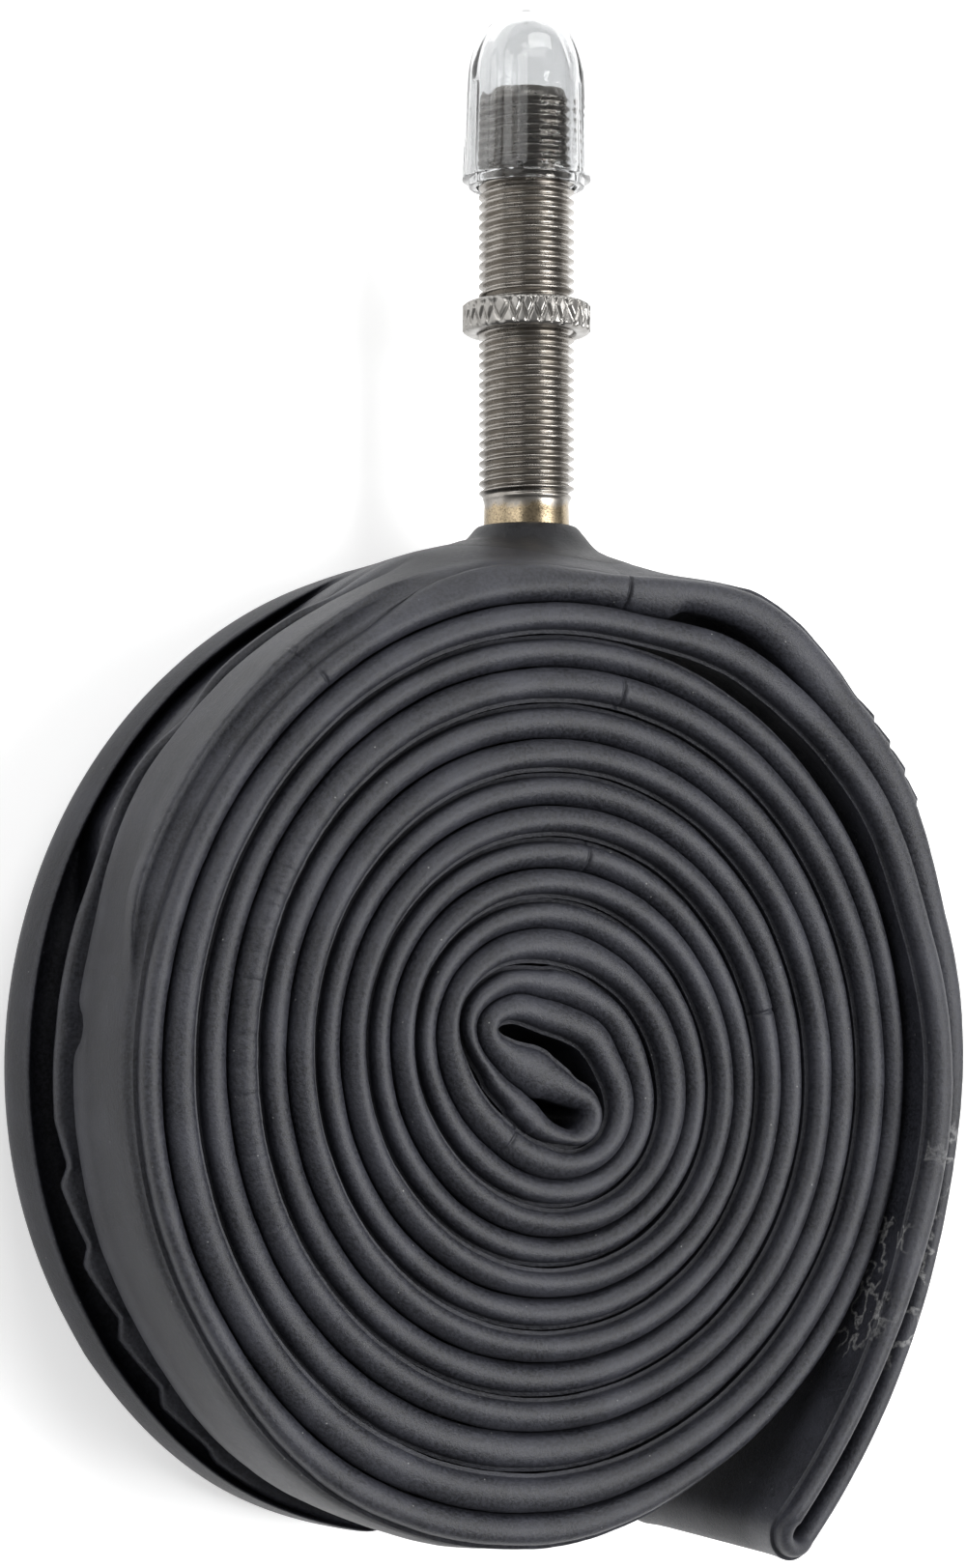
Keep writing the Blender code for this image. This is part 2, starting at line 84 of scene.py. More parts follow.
TAIL_THINS = (7.05, 7.25)
TAIL_REACH = 4.2
TAIL_HALF_STRAND = 1.0
TAIL_LOOP_OPENING = 0.75
TAIL_FORWARD_INNER = 3.0
TAIL_FORWARD_OUTER = 0.4
LAST_TURN_TIGHTER = 0.9
LAST_TURN_TIGHTENS = (6.7, 6.95)
START_THICKER = 0.2
START_THICKER_ENDS = (GROOVE_START + 0.04, 0.6)
TAIL_REACH_POWER = 2.5
TAIL_LOOP_OPENS = (GROOVE_END - 0.19, GROOVE_END - 0.02)
SLOPE_STEP = 0.004
SAG = 0.5
SAG_RANGES = ((6.42, 6.5), (6.57, 6.66))
SAG_THICKER = 0.3
LOOSE = (1.5, 0.5)
LOOSE_STARTS = (7.033, 7.083)
LOOSE_LESSENS = (7.143, 7.2)
# For the inner and the outer strand: how much thicker, and where that begins and ends.
LOOSE_THICKER = ((0.3, LOOSE_STARTS, (7.3, 7.38)), (0.4, (7.055, 7.095), (7.22, 7.3)))
BUMP_AT_DEG = 24.0
BUMP_HALF_WIDTH_DEG = 22.0
BUMP_HEIGHT = 1.0
BUMP_THICKER = 0.4
BUMP_THICKER_AT_DEG = 30.0
BUMP_THICKER_HALF_WIDTH_DEG = 50.0


def smooth_step(low, high, value):
    """0 below low, 1 above high, and a smooth rise between."""
    x = min(1.0, max(0.0, (value - low) / (high - low)))
    return x * x * (3.0 - 2.0 * x)


def smooth_steps(low, high, values):
    """The same for an array."""
    x = np.clip((values - low) / (high - low), 0.0, 1.0)
    return x * x * (3.0 - 2.0 * x)


def window(values, begins, ends):
    """1 between the two ranges, with a smooth rise over the first one and a smooth fall over the second."""
    return smooth_steps(*begins, values) * (1.0 - smooth_steps(*ends, values))


def wound_radius(turn):
    """Radius of the roll's path: a growing spiral, off centre, with an upright and a slanting oval."""
    angle = 2.0 * math.pi * turn
    start = math.exp(-turn)
    mean = 4.45 + 3.0 * turn + 0.2 * turn * turn - 5.04 * start
    drift = (0.13 - 0.29 * start) * math.cos(angle) + (0.85 - 2.57 * start) * math.sin(angle)
    upright_oval = (-0.56 + 0.3 * turn + 1.07 * start) * math.cos(2.0 * angle)
    slanting_oval = (-0.82 + 0.154 * turn - 1.95 * start) * math.sin(2.0 * angle)
    return mean + drift + upright_oval + slanting_oval


def nucleus_value(values, turn):
    """A smooth curve through values given at every 30 degrees of the first turns."""
    place = (turn * 360.0 - NUCLEUS_FIRST_DEG) / NUCLEUS_STEP_DEG
    i = min(max(int(math.floor(place)), 0), len(values) - 2)
    f = place - i
    before, here, there, after = (values[min(max(i + k, 0), len(values) - 1)] for k in (-1, 0, 1, 2))
    square = 2.0 * before - 5.0 * here + 4.0 * there - after
    cubic = 3.0 * (here - there) + after - before
    return here + 0.5 * f * (there - before + f * (square + f * cubic))


def sagging(turn):
    """1 where the last turn but one hangs a little loose at the bottom, and 0 elsewhere."""
    return smooth_step(*SAG_RANGES[0], turn) - smooth_step(*SAG_RANGES[1], turn)


def roll_radius(turn):
    share = smooth_step(*NUCLEUS_BLEND, turn)
    radius = (1.0 - share) * nucleus_value(NUCLEUS_RADII, turn) + share * wound_radius(turn)
    return radius - LAST_TURN_TIGHTER * smooth_step(*LAST_TURN_TIGHTENS, turn) + SAG * sagging(turn)


def groove_radius(turn):
    radius = roll_radius(turn) + LOOSE[0] * smooth_step(*LOOSE_STARTS, turn)
    radius -= (LOOSE[0] - LOOSE[1]) * smooth_step(*LOOSE_LESSENS, turn)
    if turn > TAIL_LEAVES:
        radius += TAIL_REACH * ((turn - TAIL_LEAVES) / (GROOVE_END - TAIL_LEAVES)) ** TAIL_REACH_POWER
    return radius


def groove_point(turn):
    angle = 2.0 * math.pi * turn
    return Vector((math.sin(angle), math.cos(angle))) * groove_radius(turn)


def groove_outward(turn):
    along = groove_point(turn + SLOPE_STEP) - groove_point(turn - SLOPE_STEP)
    return Vector((-along.y, along.x)).normalized()


def slit(turn):
    """Half the gap between a turn's two strands, which is open only near the band's two folds."""
    start = START_SLIT * (1.0 - smooth_step(GROOVE_START, START_SLIT_CLOSES, turn))
    end = TAIL_LOOP_OPENING * smooth_step(*TAIL_LOOP_OPENS, turn)
    return start + end


def raised_cosine(turn, at_deg, half_width_deg):
    """A bump of height 1 at a place on the last turn."""
    away = (turn * 360.0 - 7.0 * 360.0 - at_deg) / half_width_deg
    return math.cos(away * math.pi / 2.0) ** 2 if abs(away) < 1.0 else 0.0


def half_strand(turn, outer):
    """Half the thickness of a strand, as far as its neighbours leave room."""
    angle = 2.0 * math.pi * turn
    slope = Vector((math.sin(angle), math.cos(angle))).dot(groove_outward(turn))
    if outer:
        half = ((roll_radius(turn + 1.0) - groove_radius(turn)) * slope - slit(turn)) / 4.0
        last = smooth_step(*LAST_TURN_THINS, turn)
        thicker = BUMP_THICKER * raised_cosine(turn, BUMP_THICKER_AT_DEG, BUMP_THICKER_HALF_WIDTH_DEG)
        thicker += SAG_THICKER * sagging(turn)
        half = last * (LAST_TURN_HALF_STRAND + thicker) + (1.0 - last) * half
        half += START_THICKER * (1.0 - smooth_step(*START_THICKER_ENDS, turn))
    else:
        before = max(turn - 1.0, GROOVE_START)
        share = smooth_step(*INNER_STRAND_MEETS, turn)
        half = (1.0 - share) * nucleus_value(NUCLEUS_HALF_STRANDS, turn)
        half += share * ((roll_radius(turn) - groove_radius(before)) * slope - slit(before)) / 4.0
    tail = smooth_step(*TAIL_THINS, turn)
    half = tail * TAIL_HALF_STRAND + (1.0 - tail) * half
    thicker, begins, ends = LOOSE_THICKER[outer]
    return half + thicker * (smooth_step(*begins, turn) - smooth_step(*ends, turn))


def bump(turn):
    return BUMP_HEIGHT * raised_cosine(turn, BUMP_AT_DEG, BUMP_HALF_WIDTH_DEG)


def strand_station(turn, outer):
    """Centre, outward normal and half thickness of a strand, in the roll's own frame."""
    normal = groove_outward(turn)
    half = half_strand(turn, outer)
    offset = half + slit(turn)
    if outer:
        return groove_point(turn) + normal * (offset + bump(turn)), normal, half
    return groove_point(turn) - normal * offset, normal, half


# ---------------- helpers

def wave(values, seed):
    """Smooth, repeatable noise along a line, about -1 to 1."""
    values = np.asarray(values, float) + seed * 17.31
    total = np.zeros_like(values)
    for size, rate, phase in ((0.45, 1.0, 0.3), (0.3, 1.93, 1.7), (0.2, 3.71, 4.1), (0.12, 7.13, 2.2)):
        total += size * np.sin(values * rate * 2.0 * math.pi + phase + seed)
    return total


def new_object(name, points, faces, body):
    """A smooth mesh from points in millimetres, in the row frame. It rides on body, if given."""
    mesh = bpy.data.meshes.new(name)
    mesh.from_pydata((np.asarray(points) * MM).tolist(), [], [list(map(int, face)) for face in faces])
    mesh.update()
    mesh.polygons.foreach_set("use_smooth", [True] * len(mesh.polygons))
    shape = bmesh.new()
    shape.from_mesh(mesh)
    bmesh.ops.recalc_face_normals(shape, faces=shape.faces)
    shape.to_mesh(mesh)
    shape.free()
    obj = bpy.data.objects.new(name, mesh)
    bpy.context.scene.collection.objects.link(obj)
    if body:
        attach(obj, body)
    return obj


def grid_faces(rows, columns, close_rows, close_columns):
    """Quads of a grid whose point i, j is number i * columns + j."""
    i = np.arange(rows if close_rows else rows - 1)
    j = np.arange(columns if close_columns else columns - 1)
    i, j = (a.ravel() for a in np.meshgrid(i, j, indexing="ij"))
    i2, j2 = (i + 1) % rows, (j + 1) % columns
    return np.stack([i * columns + j, i2 * columns + j, i2 * columns + j2, i * columns + j2], axis=1)


def finish_piece(obj, node, material):
    """Puts the piece in the place of a node of the solids, with its material."""
    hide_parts(node)
    obj.data.materials.clear()
    obj.data.materials.append(material)


def valve_place(x, y, v):
    """Row-frame point of a place given across the valve (x right, y towards the front) and along it (v)."""
    return VALVE_X + x, FOOT_Y + v, VALVE_Z + y


def turned(name, profile, segments, body, radius_at=None):
    """A turned piece round the valve's axis. radius_at(angle, v, index, r) may vary the radius round it."""
    angles = np.linspace(0.0, 2.0 * math.pi, segments, endpoint=False)
    points = []
    for index, (r, v) in enumerate(profile):
        radii = np.full(segments, float(r)) if radius_at is None else radius_at(angles, v, index, r)
        x, y = radii * np.sin(angles), radii * np.cos(angles)
        points.append(np.stack(valve_place(x, y, np.full(segments, float(v))), axis=1))
    faces = grid_faces(len(profile), segments, True, True)
    return new_object(name, np.concatenate(points), faces, body)


# ---------------- materials

class Nodes:
    """Short-hand for building a material from nodes, with lengths in millimetres."""

    def __init__(self, name):
        self.material = bpy.data.materials.new(name)
        self.material.use_nodes = True
        self.tree = self.material.node_tree
        self.shader = self.tree.nodes["Principled BSDF"]
        coordinates = self.tree.nodes.new("ShaderNodeTexCoord")
        self.place = self.new("ShaderNodeMapping", Vector=coordinates.outputs["Object"])
        self.place.inputs["Scale"].default_value = (1.0 / MM, 1.0 / MM, 1.0 / MM)

    def new(self, kind, **inputs):
        node = self.tree.nodes.new(kind)
        for key, value in inputs.items():
            self.feed(node.inputs[key.replace("_", " ")], value)
        return node

    def feed(self, socket, value):
        if isinstance(value, bpy.types.NodeSocket):
            self.tree.links.new(value, socket)
        elif isinstance(value, bpy.types.Node):
            self.tree.links.new(value.outputs[0], socket)
        else:
            socket.default_value = value

    def noise(self, scale, detail=2.0, roughness=0.5):
        node = self.new("ShaderNodeTexNoise", Vector=self.place, Scale=scale, Detail=detail)
        self.feed(node.inputs["Roughness"], roughness)
        return node.outputs[0]

    def cells(self, scale):
        return self.new("ShaderNodeTexVoronoi", Vector=self.place, Scale=scale)

    def axes(self):
        """The three coordinates of the point."""
        return self.new("ShaderNodeSeparateXYZ", Vector=self.place).outputs

    def span(self, value, low, high, to_low, to_high):
        """Value taken from the range low to high to the range to_low to to_high, and held at its ends."""
        node = self.new("ShaderNodeMapRange", Value=value)
        for key, number in (("From Min", low), ("From Max", high), ("To Min", to_low), ("To Max", to_high)):
            node.inputs[key].default_value = number
        return node.outputs[0]

    def math(self, operation, a, b=0.0):
        node = self.tree.nodes.new("ShaderNodeMath")
        node.operation = operation
        self.feed(node.inputs[0], a)
        self.feed(node.inputs[1], b)
        return node.outputs[0]

    def mix(self, share, a, b):
        node = self.tree.nodes.new("ShaderNodeMix")
        node.data_type = "RGBA"
        self.feed(node.inputs["Factor"], share)
        for socket, value in ((node.inputs[6], a), (node.inputs[7], b)):
            self.feed(socket, (*value, 1.0) if isinstance(value, tuple) else value)
        return node.outputs[2]

    def height(self, value, distance, strength=1.0):
        """Adds a fine relief, on top of any that the material has."""
        node = self.new("ShaderNodeBump", Height=value, Strength=strength, Distance=distance * MM)
        if self.shader.inputs["Normal"].is_linked:
            self.tree.links.new(self.shader.inputs["Normal"].links[0].from_socket, node.inputs["Normal"])
        self.tree.links.new(node.outputs[0], self.shader.inputs["Normal"])

    def set(self, **inputs):
        for key, value in inputs.items():
            self.feed(self.shader.inputs[key.replace("_", " ")], value)
        return self.material


# Where the tail's inner side was rubbed: degrees round the roll, and radius.
SCUFFS = ((102.0, 34.6), (114.0, 35.4), (124.5, 36.2))
SCUFF_HEIGHT = 25.0
SCUFF_REACH = (3.2, 4.2)
SCUFF_LEAST_RADIUS = 33.3
CHALK = (0.26, 0.26, 0.26)
TALC = (0.34, 0.34, 0.33)
FAR = 99.0

# Painted shade on the side and the rear: the heights over which each begins, and its share of black. Left of
# the given x, the crevice below its heights stays as it is.
SIDE_BEGINS = (22.2, 24.8)
SIDE_SHADE_SHARE = 0.3
REAR_BEGINS = (7.5, 9.5)
REAR_SHADE_SHARE = 0.28
CREVICE_BELOW = (13.0, 16.0)
CREVICE_LEFT_OF = (5.0, 20.0)


def scuff_lines(n, grain):
    """Chalky, ragged lines where the tail's inner side was rubbed."""
    line = n.math("ABSOLUTE", n.math("SUBTRACT", n.noise(0.42, 2.5, 0.5), 0.5))
    line = n.math("MULTIPLY", n.span(line, 0.018, 0.04, 1.0, 0.0), n.span(grain, 0.4, 0.55, 0.2, 1.0))
    near = FAR
    for degree, radius in SCUFFS:
        angle = math.radians(degree)
        spot = (ROLL_X + radius * math.sin(angle), ROLL_Y + radius * math.cos(angle), SCUFF_HEIGHT)
        offset = n.new("ShaderNodeMapping", Vector=n.place)
        offset.inputs["Location"].default_value = [-value for value in spot]
        reach = n.tree.nodes.new("ShaderNodeVectorMath")
        reach.operation = "LENGTH"
        n.feed(reach.inputs[0], offset)
        near = n.math("MINIMUM", reach.outputs["Value"], near)
    line = n.math("MULTIPLY", line, n.span(near, *SCUFF_REACH, 0.85, 0.0))
    across, along, _ = n.axes()
    x = n.math("SUBTRACT", across, ROLL_X)
    y = n.math("SUBTRACT", along, ROLL_Y)
    radius = n.math("SQRT", n.math("ADD", n.math("MULTIPLY", x, x), n.math("MULTIPLY", y, y)))
    return n.math("MULTIPLY", line, n.math("GREATER_THAN", radius, SCUFF_LEAST_RADIUS))


def side_and_rear_painted_shade(n):
    """Painted shade: blackens the sides and the rear and lowers their shine, except the crevice at the left;
    the strands' front ends keep their colour.
    """
    across, _, up = n.axes()
    right = n.span(across, *CREVICE_LEFT_OF, 0.0, 1.0)
    outside = n.math("MAXIMUM", n.span(up, *CREVICE_BELOW, 0.0, 1.0), right)
    side = n.math("MULTIPLY", n.span(up, *SIDE_BEGINS, SIDE_SHADE_SHARE, 0.0), outside)
    return n.math("MAXIMUM", side, n.span(up, *REAR_BEGINS, REAR_SHADE_SHARE, 0.0))


def rubber_material(name, dark, light, dust=1.0, scuffed=False):
    n = Nodes(name)
    grain = n.noise(3.4, 4.0, 0.78)
    cloud = n.noise(0.16, 4.0, 0.6)
    colour = n.mix(n.span(grain, 0.41, 0.6, 0.0, 1.0), dark, light)
    bloom = tuple(min(1.0, c * 1.9 + 0.006) for c in light)
    colour = n.mix(n.span(cloud, 0.42, 0.75, 0.0, 0.45), colour, bloom)
    if scuffed:
        colour = n.mix(scuff_lines(n, grain), colour, CHALK)
    lonely = n.math("LESS_THAN", n.cells(0.75).outputs["Distance"], 0.045)
    chosen = n.math("GREATER_THAN", n.noise(0.6, 0.0), 0.53)
    speck = n.math("MULTIPLY", n.math("MULTIPLY", lonely, chosen), 0.6 * dust)
    colour = n.mix(speck, colour, TALC)
    # Painted shade: the sides and the rear are mixed towards black and given less shine.
    clean = side_and_rear_painted_shade(n)
    colour = n.mix(clean, colour, (0.0, 0.0, 0.0))
    shine = n.math("SUBTRACT", 0.5, n.math("MULTIPLY", clean, 0.9))
    roughness = n.span(grain, 0.3, 0.7, 0.40, 0.56)
    n.height(grain, 0.08, 0.8)
    n.height(n.noise(1.1, 3.0, 0.6), 0.05, 0.5)
    return n.set(Base_Color=colour, Roughness=roughness, Specular_IOR_Level=shine)


TUBE_DARK = (0.0066, 0.007, 0.0098)
TUBE_LIGHT = (0.029, 0.0302, 0.0395)
TUBE_RUBBER = rubber_material("tube_rubber", TUBE_DARK, TUBE_LIGHT, scuffed=True)
BASE_RUBBER = rubber_material("valve_base_rubber", (0.006, 0.0062, 0.0076), (0.02, 0.0206, 0.0245), 0.5)

GRIME = (0.05, 0.045, 0.04)


def metal_material(name, clean, stained, roughness, stain=0.5):
    n = Nodes(name)
    cloud = n.noise(0.7, 4.0, 0.65)
    fine = n.noise(9.0, 2.0, 0.6)
    colour = n.mix(n.span(cloud, 0.4, 0.7, 0.0, stain), clean, stained)
    colour = n.mix(n.span(fine, 0.58, 0.75, 0.0, 0.45 * stain), colour, GRIME)
    rough = n.span(cloud, 0.3, 0.7, roughness, roughness + 0.14)
    n.height(n.noise(2.4, 3.0, 0.55), 0.02, 0.5)
    return n.set(Base_Color=colour, Roughness=rough, Metallic=1.0)


NUT_NICKEL = metal_material("nut_nickel", (0.31, 0.3, 0.285), (0.2, 0.187, 0.17), 0.26, 0.4)
CORE_BRASS = metal_material("core_brass", (0.72, 0.55, 0.28), (0.5, 0.36, 0.16), 0.25)
PIN_BRASS = metal_material("pin_brass", (0.76, 0.6, 0.34), (0.6, 0.44, 0.2), 0.22)
SPRING_STEEL = metal_material("spring_steel", (0.62, 0.62, 0.63), (0.5, 0.5, 0.5), 0.25, 0.3)


def small_rubber_material(name, low, high, roughness):
    n = Nodes(name)
    grain = n.noise(4.0, 3.0, 0.6)
    n.height(grain, 0.02, 0.5)
    colour = n.mix(grain, low, high)
    return n.set(Base_Color=colour, Roughness=n.span(grain, 0.3, 0.7, roughness, roughness + 0.15))


SEAL_RUBBER = small_rubber_material("seal_rubber", (0.02, 0.02, 0.022), (0.055, 0.055, 0.06), 0.5)
GASKET_RED = small_rubber_material("gasket_red", (0.32, 0.03, 0.022), (0.5, 0.06, 0.045), 0.4)


def clear_material():
    n = Nodes("clear_plastic")
    cloud = n.noise(0.9, 3.0, 0.6)
    haze = n.span(cloud, 0.35, 0.75, 0.06, 0.14)
    n.height(n.noise(0.5, 2.0), 0.03, 0.35)
    colour = n.mix(cloud, (0.58, 0.59, 0.595), (0.66, 0.665, 0.67))
    return n.set(Base_Color=colour, Roughness=haze, Transmission_Weight=1.0, IOR=1.47)


CLEAR = clear_material()

# ---------------- the wound tube

# Fine cracks across the strands' crowns: turn, whether on the outer strand, and depth.
CREASES = (
    (7.03, 1, 0.3), (6.034, 0, 0.28), (3.034, 1, 0.26), (4.214, 0, 0.22), (6.91, 1, 0.16), (1.59, 0, 0.2),
)
CREASE_WIDTH = 0.14
CREASE_STATIONS = 6
CREASE_STATION_STEP = 0.0021
FIRST_TURNS = 1.5
FIRST_TURNS_SMOOTHED = 0.9
FOLD_STEPS = 30

# Stations round the band: from a turn, to a turn, and how many per turn.
INNER_STATIONS = ((GROOVE_START, 1.3, 240), (1.3, 4.0, 130), (4.0, GROOVE_END, 170))
INNER_FINE_STATIONS = ((5.57, 5.91, 620),)
OUTER_STATIONS = ((GROOVE_START, 1.3, 240), (1.3, 4.0, 130), (4.0, 6.35, 170), (6.35, GROOVE_END, 560))
OUTER_FINE_STATIONS = ((7.118, 7.162, 2400),)


def station_turns(ranges, outer):
    """Turns of the inner or outer strand's stations, closer together at its creases."""
    turns = {GROOVE_END}
    for low, high, per_turn in ranges:
        count = max(2, int(round((high - low) * per_turn)))
        turns.update(np.linspace(low, high, count, endpoint=False).tolist())
    for at, on_outer, _ in CREASES:
        if on_outer == outer:
            steps = range(-CREASE_STATIONS, CREASE_STATIONS + 1)
            turns.update(at + step * CREASE_STATION_STEP / at for step in steps)
    return sorted(turns)


def smoothed(points, spread):
    """Points of an open line, each the mean of its neighbours along the line; the ends stay."""
    arc = np.concatenate([[0.0], np.cumsum(np.linalg.norm(np.diff(points, axis=0), axis=1))])
    weight = np.gradient(arc) * np.exp(-(((arc[:, None] - arc[None, :]) / spread) ** 2))
    mean = weight @ points / weight.sum(axis=1)[:, None]
    share = np.clip(np.minimum(arc, arc[-1] - arc) / (2.0 * spread), 0.0, 1.0)[:, None]
    return points * (1.0 - share) + mean * share


def strand_rows(turns, outer):
    """Rows of a strand: centre, normal into the loop, half thickness, turn, and 1 if it's the outer one."""
    rows = []
    for turn in turns:
        centre, normal, half = strand_station(turn, outer)
        rows.append((centre, -normal if outer else normal, half, turn, 1.0 if outer else 0.0))
    return rows


def fold_rows(first, last):
    """The half circle by which the band turns from one strand to the other."""
    centre = (first[0] + last[0]) / 2.0
    radius = (last[0] - first[0]).length / 2.0
    across = (first[0] - centre).normalized()
    along = Vector((first[1].y, -first[1].x))
    side = 1.0 if first[1].dot(across) > 0.0 else -1.0
    rows = []
    for step in range(1, FOLD_STEPS):
        angle = math.pi * step / FOLD_STEPS
        share = step / FOLD_STEPS
        out = across * math.cos(angle) + along * math.sin(angle)
        half = first[2] * (1.0 - share) + last[2] * share
        kind = first[4] * (1.0 - share) + last[4] * share
        rows.append((centre + out * radius, out * side, half, first[3], kind))
    return rows


def soften_start(rows):
    """Rounds the far side of the inner strand's first turns, where the path turns tightly."""
    first_turns = [k for k, row in enumerate(rows) if row[3] < FIRST_TURNS]
    near = np.array([rows[k][0] + rows[k][1] * rows[k][2] for k in first_turns])
    far = np.array([rows[k][0] - rows[k][1] * rows[k][2] for k in first_turns])
    far = smoothed(far, FIRST_TURNS_SMOOTHED)
    for k in first_turns:
        across = Vector(near[k]) - Vector(far[k])
        middle = Vector((near[k] + far[k]) / 2.0)
        rows[k] = (middle, across.normalized(), across.length / 2.0, *rows[k][3:])


def band_rows():
    """Rows all round the closed band."""
    inner = strand_rows(station_turns(INNER_STATIONS + INNER_FINE_STATIONS, False), False)
    soften_start(inner)
    outer = strand_rows(station_turns(OUTER_STATIONS + OUTER_FINE_STATIONS, True)[::-1], True)
    return inner + fold_rows(inner[-1], outer[0]) + outer + fold_rows(outer[-1], inner[0])


# Half of a plain strand's section: share of the half thickness, and depth behind its front end.
BEAD_ANGLES = [math.radians(degree) for degree in (80, 69, 58, 47, 36, 25, 13, 0)]
BEAD = [(math.cos(angle) ** 0.94, 1.4 * (1.0 - math.sin(angle))) for angle in BEAD_ANGLES]
PLAIN_BACK = [(0.99, 1.75), (0.95, 2.1), (0.905, 2.7), (0.87, 3.6), (0.85, 5.0)]
PLAIN_REAR = [
    (0.85, 20.6), (0.88, 22.4), (0.95, 23.6), (0.99, 24.4), (0.98, 25.0), (0.9, 25.6), (0.74, 25.92),
    (0.6, 26.0),
]

# The outer side of the last turn, seen from the left: how far it stands out, and its height.
SIDE = [
    (-0.02, 24.75), (-0.22, 24.45), (-0.36, 24.15), (-0.34, 23.85), (-0.1, 23.55), (0.1, 23.3), (0.22, 22.95),
    (0.34, 22.3), (0.44, 21.3), (0.5, 20.0), (0.52, 18.4), (0.48, 16.8), (0.4, 15.2), (0.3, 13.9),
    (0.16, 12.9), (0.02, 12.3), (-0.2, 11.95), (-0.65, 11.8), (-1.2, 11.6), (-1.15, 11.3), (-0.4, 11.12),
    (0.2, 11.06), (0.6, 11.02), (0.84, 10.8), (0.96, 10.5), (0.94, 10.25), (0.7, 10.1), (0.1, 9.95),
    (-0.6, 9.5), (-1.0, 8.2), (-1.05, 6.8), (-0.9, 5.5), (-0.3, 4.95), (0.6, 4.9), (1.25, 5.25),
    (1.72, 6.4), (1.98, 7.6), (2.16, 8.2), (2.3, 8.45), (2.42, 8.42), (2.54, 8.1), (2.72, 7.3),
    (2.9, 6.2), (3.0, 5.0), (2.75, 3.7), (2.35, 2.5), (1.9, 1.4), (1.55, 0.6), (1.2, 0.14), (0.9, 0.0),
]
# Points of SIDE at which its parts begin and end.
LOBE_BEGINS = 6
LOBE_ENDS = 15
LIFT_ENDS = 20
CREVICE_BEGINS = 11
RIBBON_BEGINS = 21
RIBBON_ENDS = 27
HOLLOW_BEGINS = 28
HOLLOW_ENDS = 32
LIP_BEGINS = 33

# The shallow valley in front of the moulding seam at the upper left, and the seam's crest.
SEAM = [
    (0.1, 24.78), (0.35, 24.5), (0.65, 24.18), (0.95, 23.86), (1.22, 23.6), (1.46, 24.25), (1.7, 23.8),
    (1.86, 22.8),
]
SEAM_CRINKLES = (0.0, 0.0, 0.0, 0.0, 0.25, 1.0, 0.5, 0.0)

# How far the outside stands out near the valve: degrees from the top, and millimetres.
EDGE_STANDS = (
    (-40, -19, -13, -6, 0, 4, 11, 17, 22, 30),
    (1.75, 1.7, 1.3, 1.15, 0.85, 0.5, -0.15, -0.05, 0.0, 0.0),
)
HILL_STANDS = (
    (-40, -20, -15, -11, -7, -2, 6, 14, 17, 21, 25, 31),
    (1.9, 2.7, 3.0, 3.0, 3.2, 3.3, 3.3, 2.45, 1.8, 0.7, 0.1, 0.0),
)
REAR_STANDS = ((-40, -10, -3, 8, 20, 30), (3.0, 2.9, 2.4, 1.2, 0.3, 0.0))
HILL_HEIGHT = 13.0
HILL_REACH = 10.9

# In these, degrees from the top come first: the share of the rear lip's full size, and how much lower
# than at the left the crevice and its ribbon run.
LIP_SHARES = ((-180, -173, -166, -153, -138, -128), (0.2, 0.4, 0.46, 0.62, 0.84, 1.0))
CREVICE_DROPS = (
    (-165, -150, -130, -116, -95, -80, -70, -57, -45, -30, -15),
    (3.4, 2.2, 1.7, 1.2, 0.5, 0.0, -0.2, -1.2, -1.9, -2.3, -2.3),
)
# For single points of SIDE: the share of the lift, how much the hollow fills up, and the ribbon's weight.
LIFT_SHARES = (0.0, 0.1, 0.25, 0.6, 0.9, 1.0)
HOLLOW_FILLS = (1.7, 2.2, 2.4, 2.1, 1.3)
RIBBON_WEIGHTS = (0.3, 0.7, 1.0, 1.0, 0.9, 0.6, 0.2)

# Where each feature lies: the degrees over which it begins, and those over which it ends.
DETAIL_AT = ((-180.0, -168.0), (19.0, 27.0))
SPREAD_AT = ((-180.0, -168.0), (-22.0, 18.0))
FLARE_AT = ((-178.0, -145.0), (-22.0, 18.0))
SEAM_AT = ((-80.0, -66.0), (-24.0, -10.0))
FOLDS_AT = ((-96.5, -97.5), (-140.0, -152.0))
RIBBON_RISES_AT = ((-68.0, -50.0), (-24.0, -14.0))
RIDGES_AT = ((43.0, 44.5), (57.0, 58.5))
TOP_BEGINS = (-26.0, -8.0)
LIFT_BEGINS = (-76.0, -50.0)
HOLLOW_FILLS_FROM = (-70.0, -56.0)
RIBBON_TWISTS_AT_DEG = -42.0
DENT_AT_DEG = -84.5
DENT_HEIGHT = 12.5
# The same, in turns.
LAST_TURN_FROM = 6.4
STRANDS_STAY_LEVEL = (6.6, 6.9)
TAIL_FORWARD_AT = (7.08, 7.3)
RIBS_AT = ((5.58, 5.6), (5.88, 5.9))

LIFT = 1.4
FLARE = 0.8
FOLD_LENGTH = 6.2
FOLD_RISES = 0.22
DENT_DEPTH = 0.9
RIB_DEPTH = 0.14

# The ridges on the outside, right of the valve.
RIDGE_PITCH = 2.35
RIDGE_HEIGHT = 0.38
RIDGES_AT_RADIUS = 38.5
RIDGES_FROM_DEG = 43.5


def top_side(degree, height):
    """How far the outer side stands out near the valve, where the base inside lifts it into a low hill."""
    edge = np.interp(degree, *EDGE_STANDS)
    hill = np.interp(degree, *HILL_STANDS)
    away = np.clip((height - HILL_HEIGHT) / HILL_REACH, -1.0, 1.0)
    stand = edge + (hill - edge) * (1.0 - away * away) ** 1.15
    if height < HILL_HEIGHT:
        rear = np.interp(degree, *REAR_STANDS)
        stand = rear + (hill - rear) * (1.0 - min(1.0, (HILL_HEIGHT - height) / 8.0) ** 2)
        return stand - 1.6 * max(0.0, (5.0 - height) / 5.0) ** 2 * np.clip(rear / 2.0, 0.0, 1.0)
    stand = stand - 0.9 * max(0.0, (height - 23.6) / 1.3) ** 2
    return stand - 0.9 * max(0.0, (2.2 - height) / 2.2) ** 2


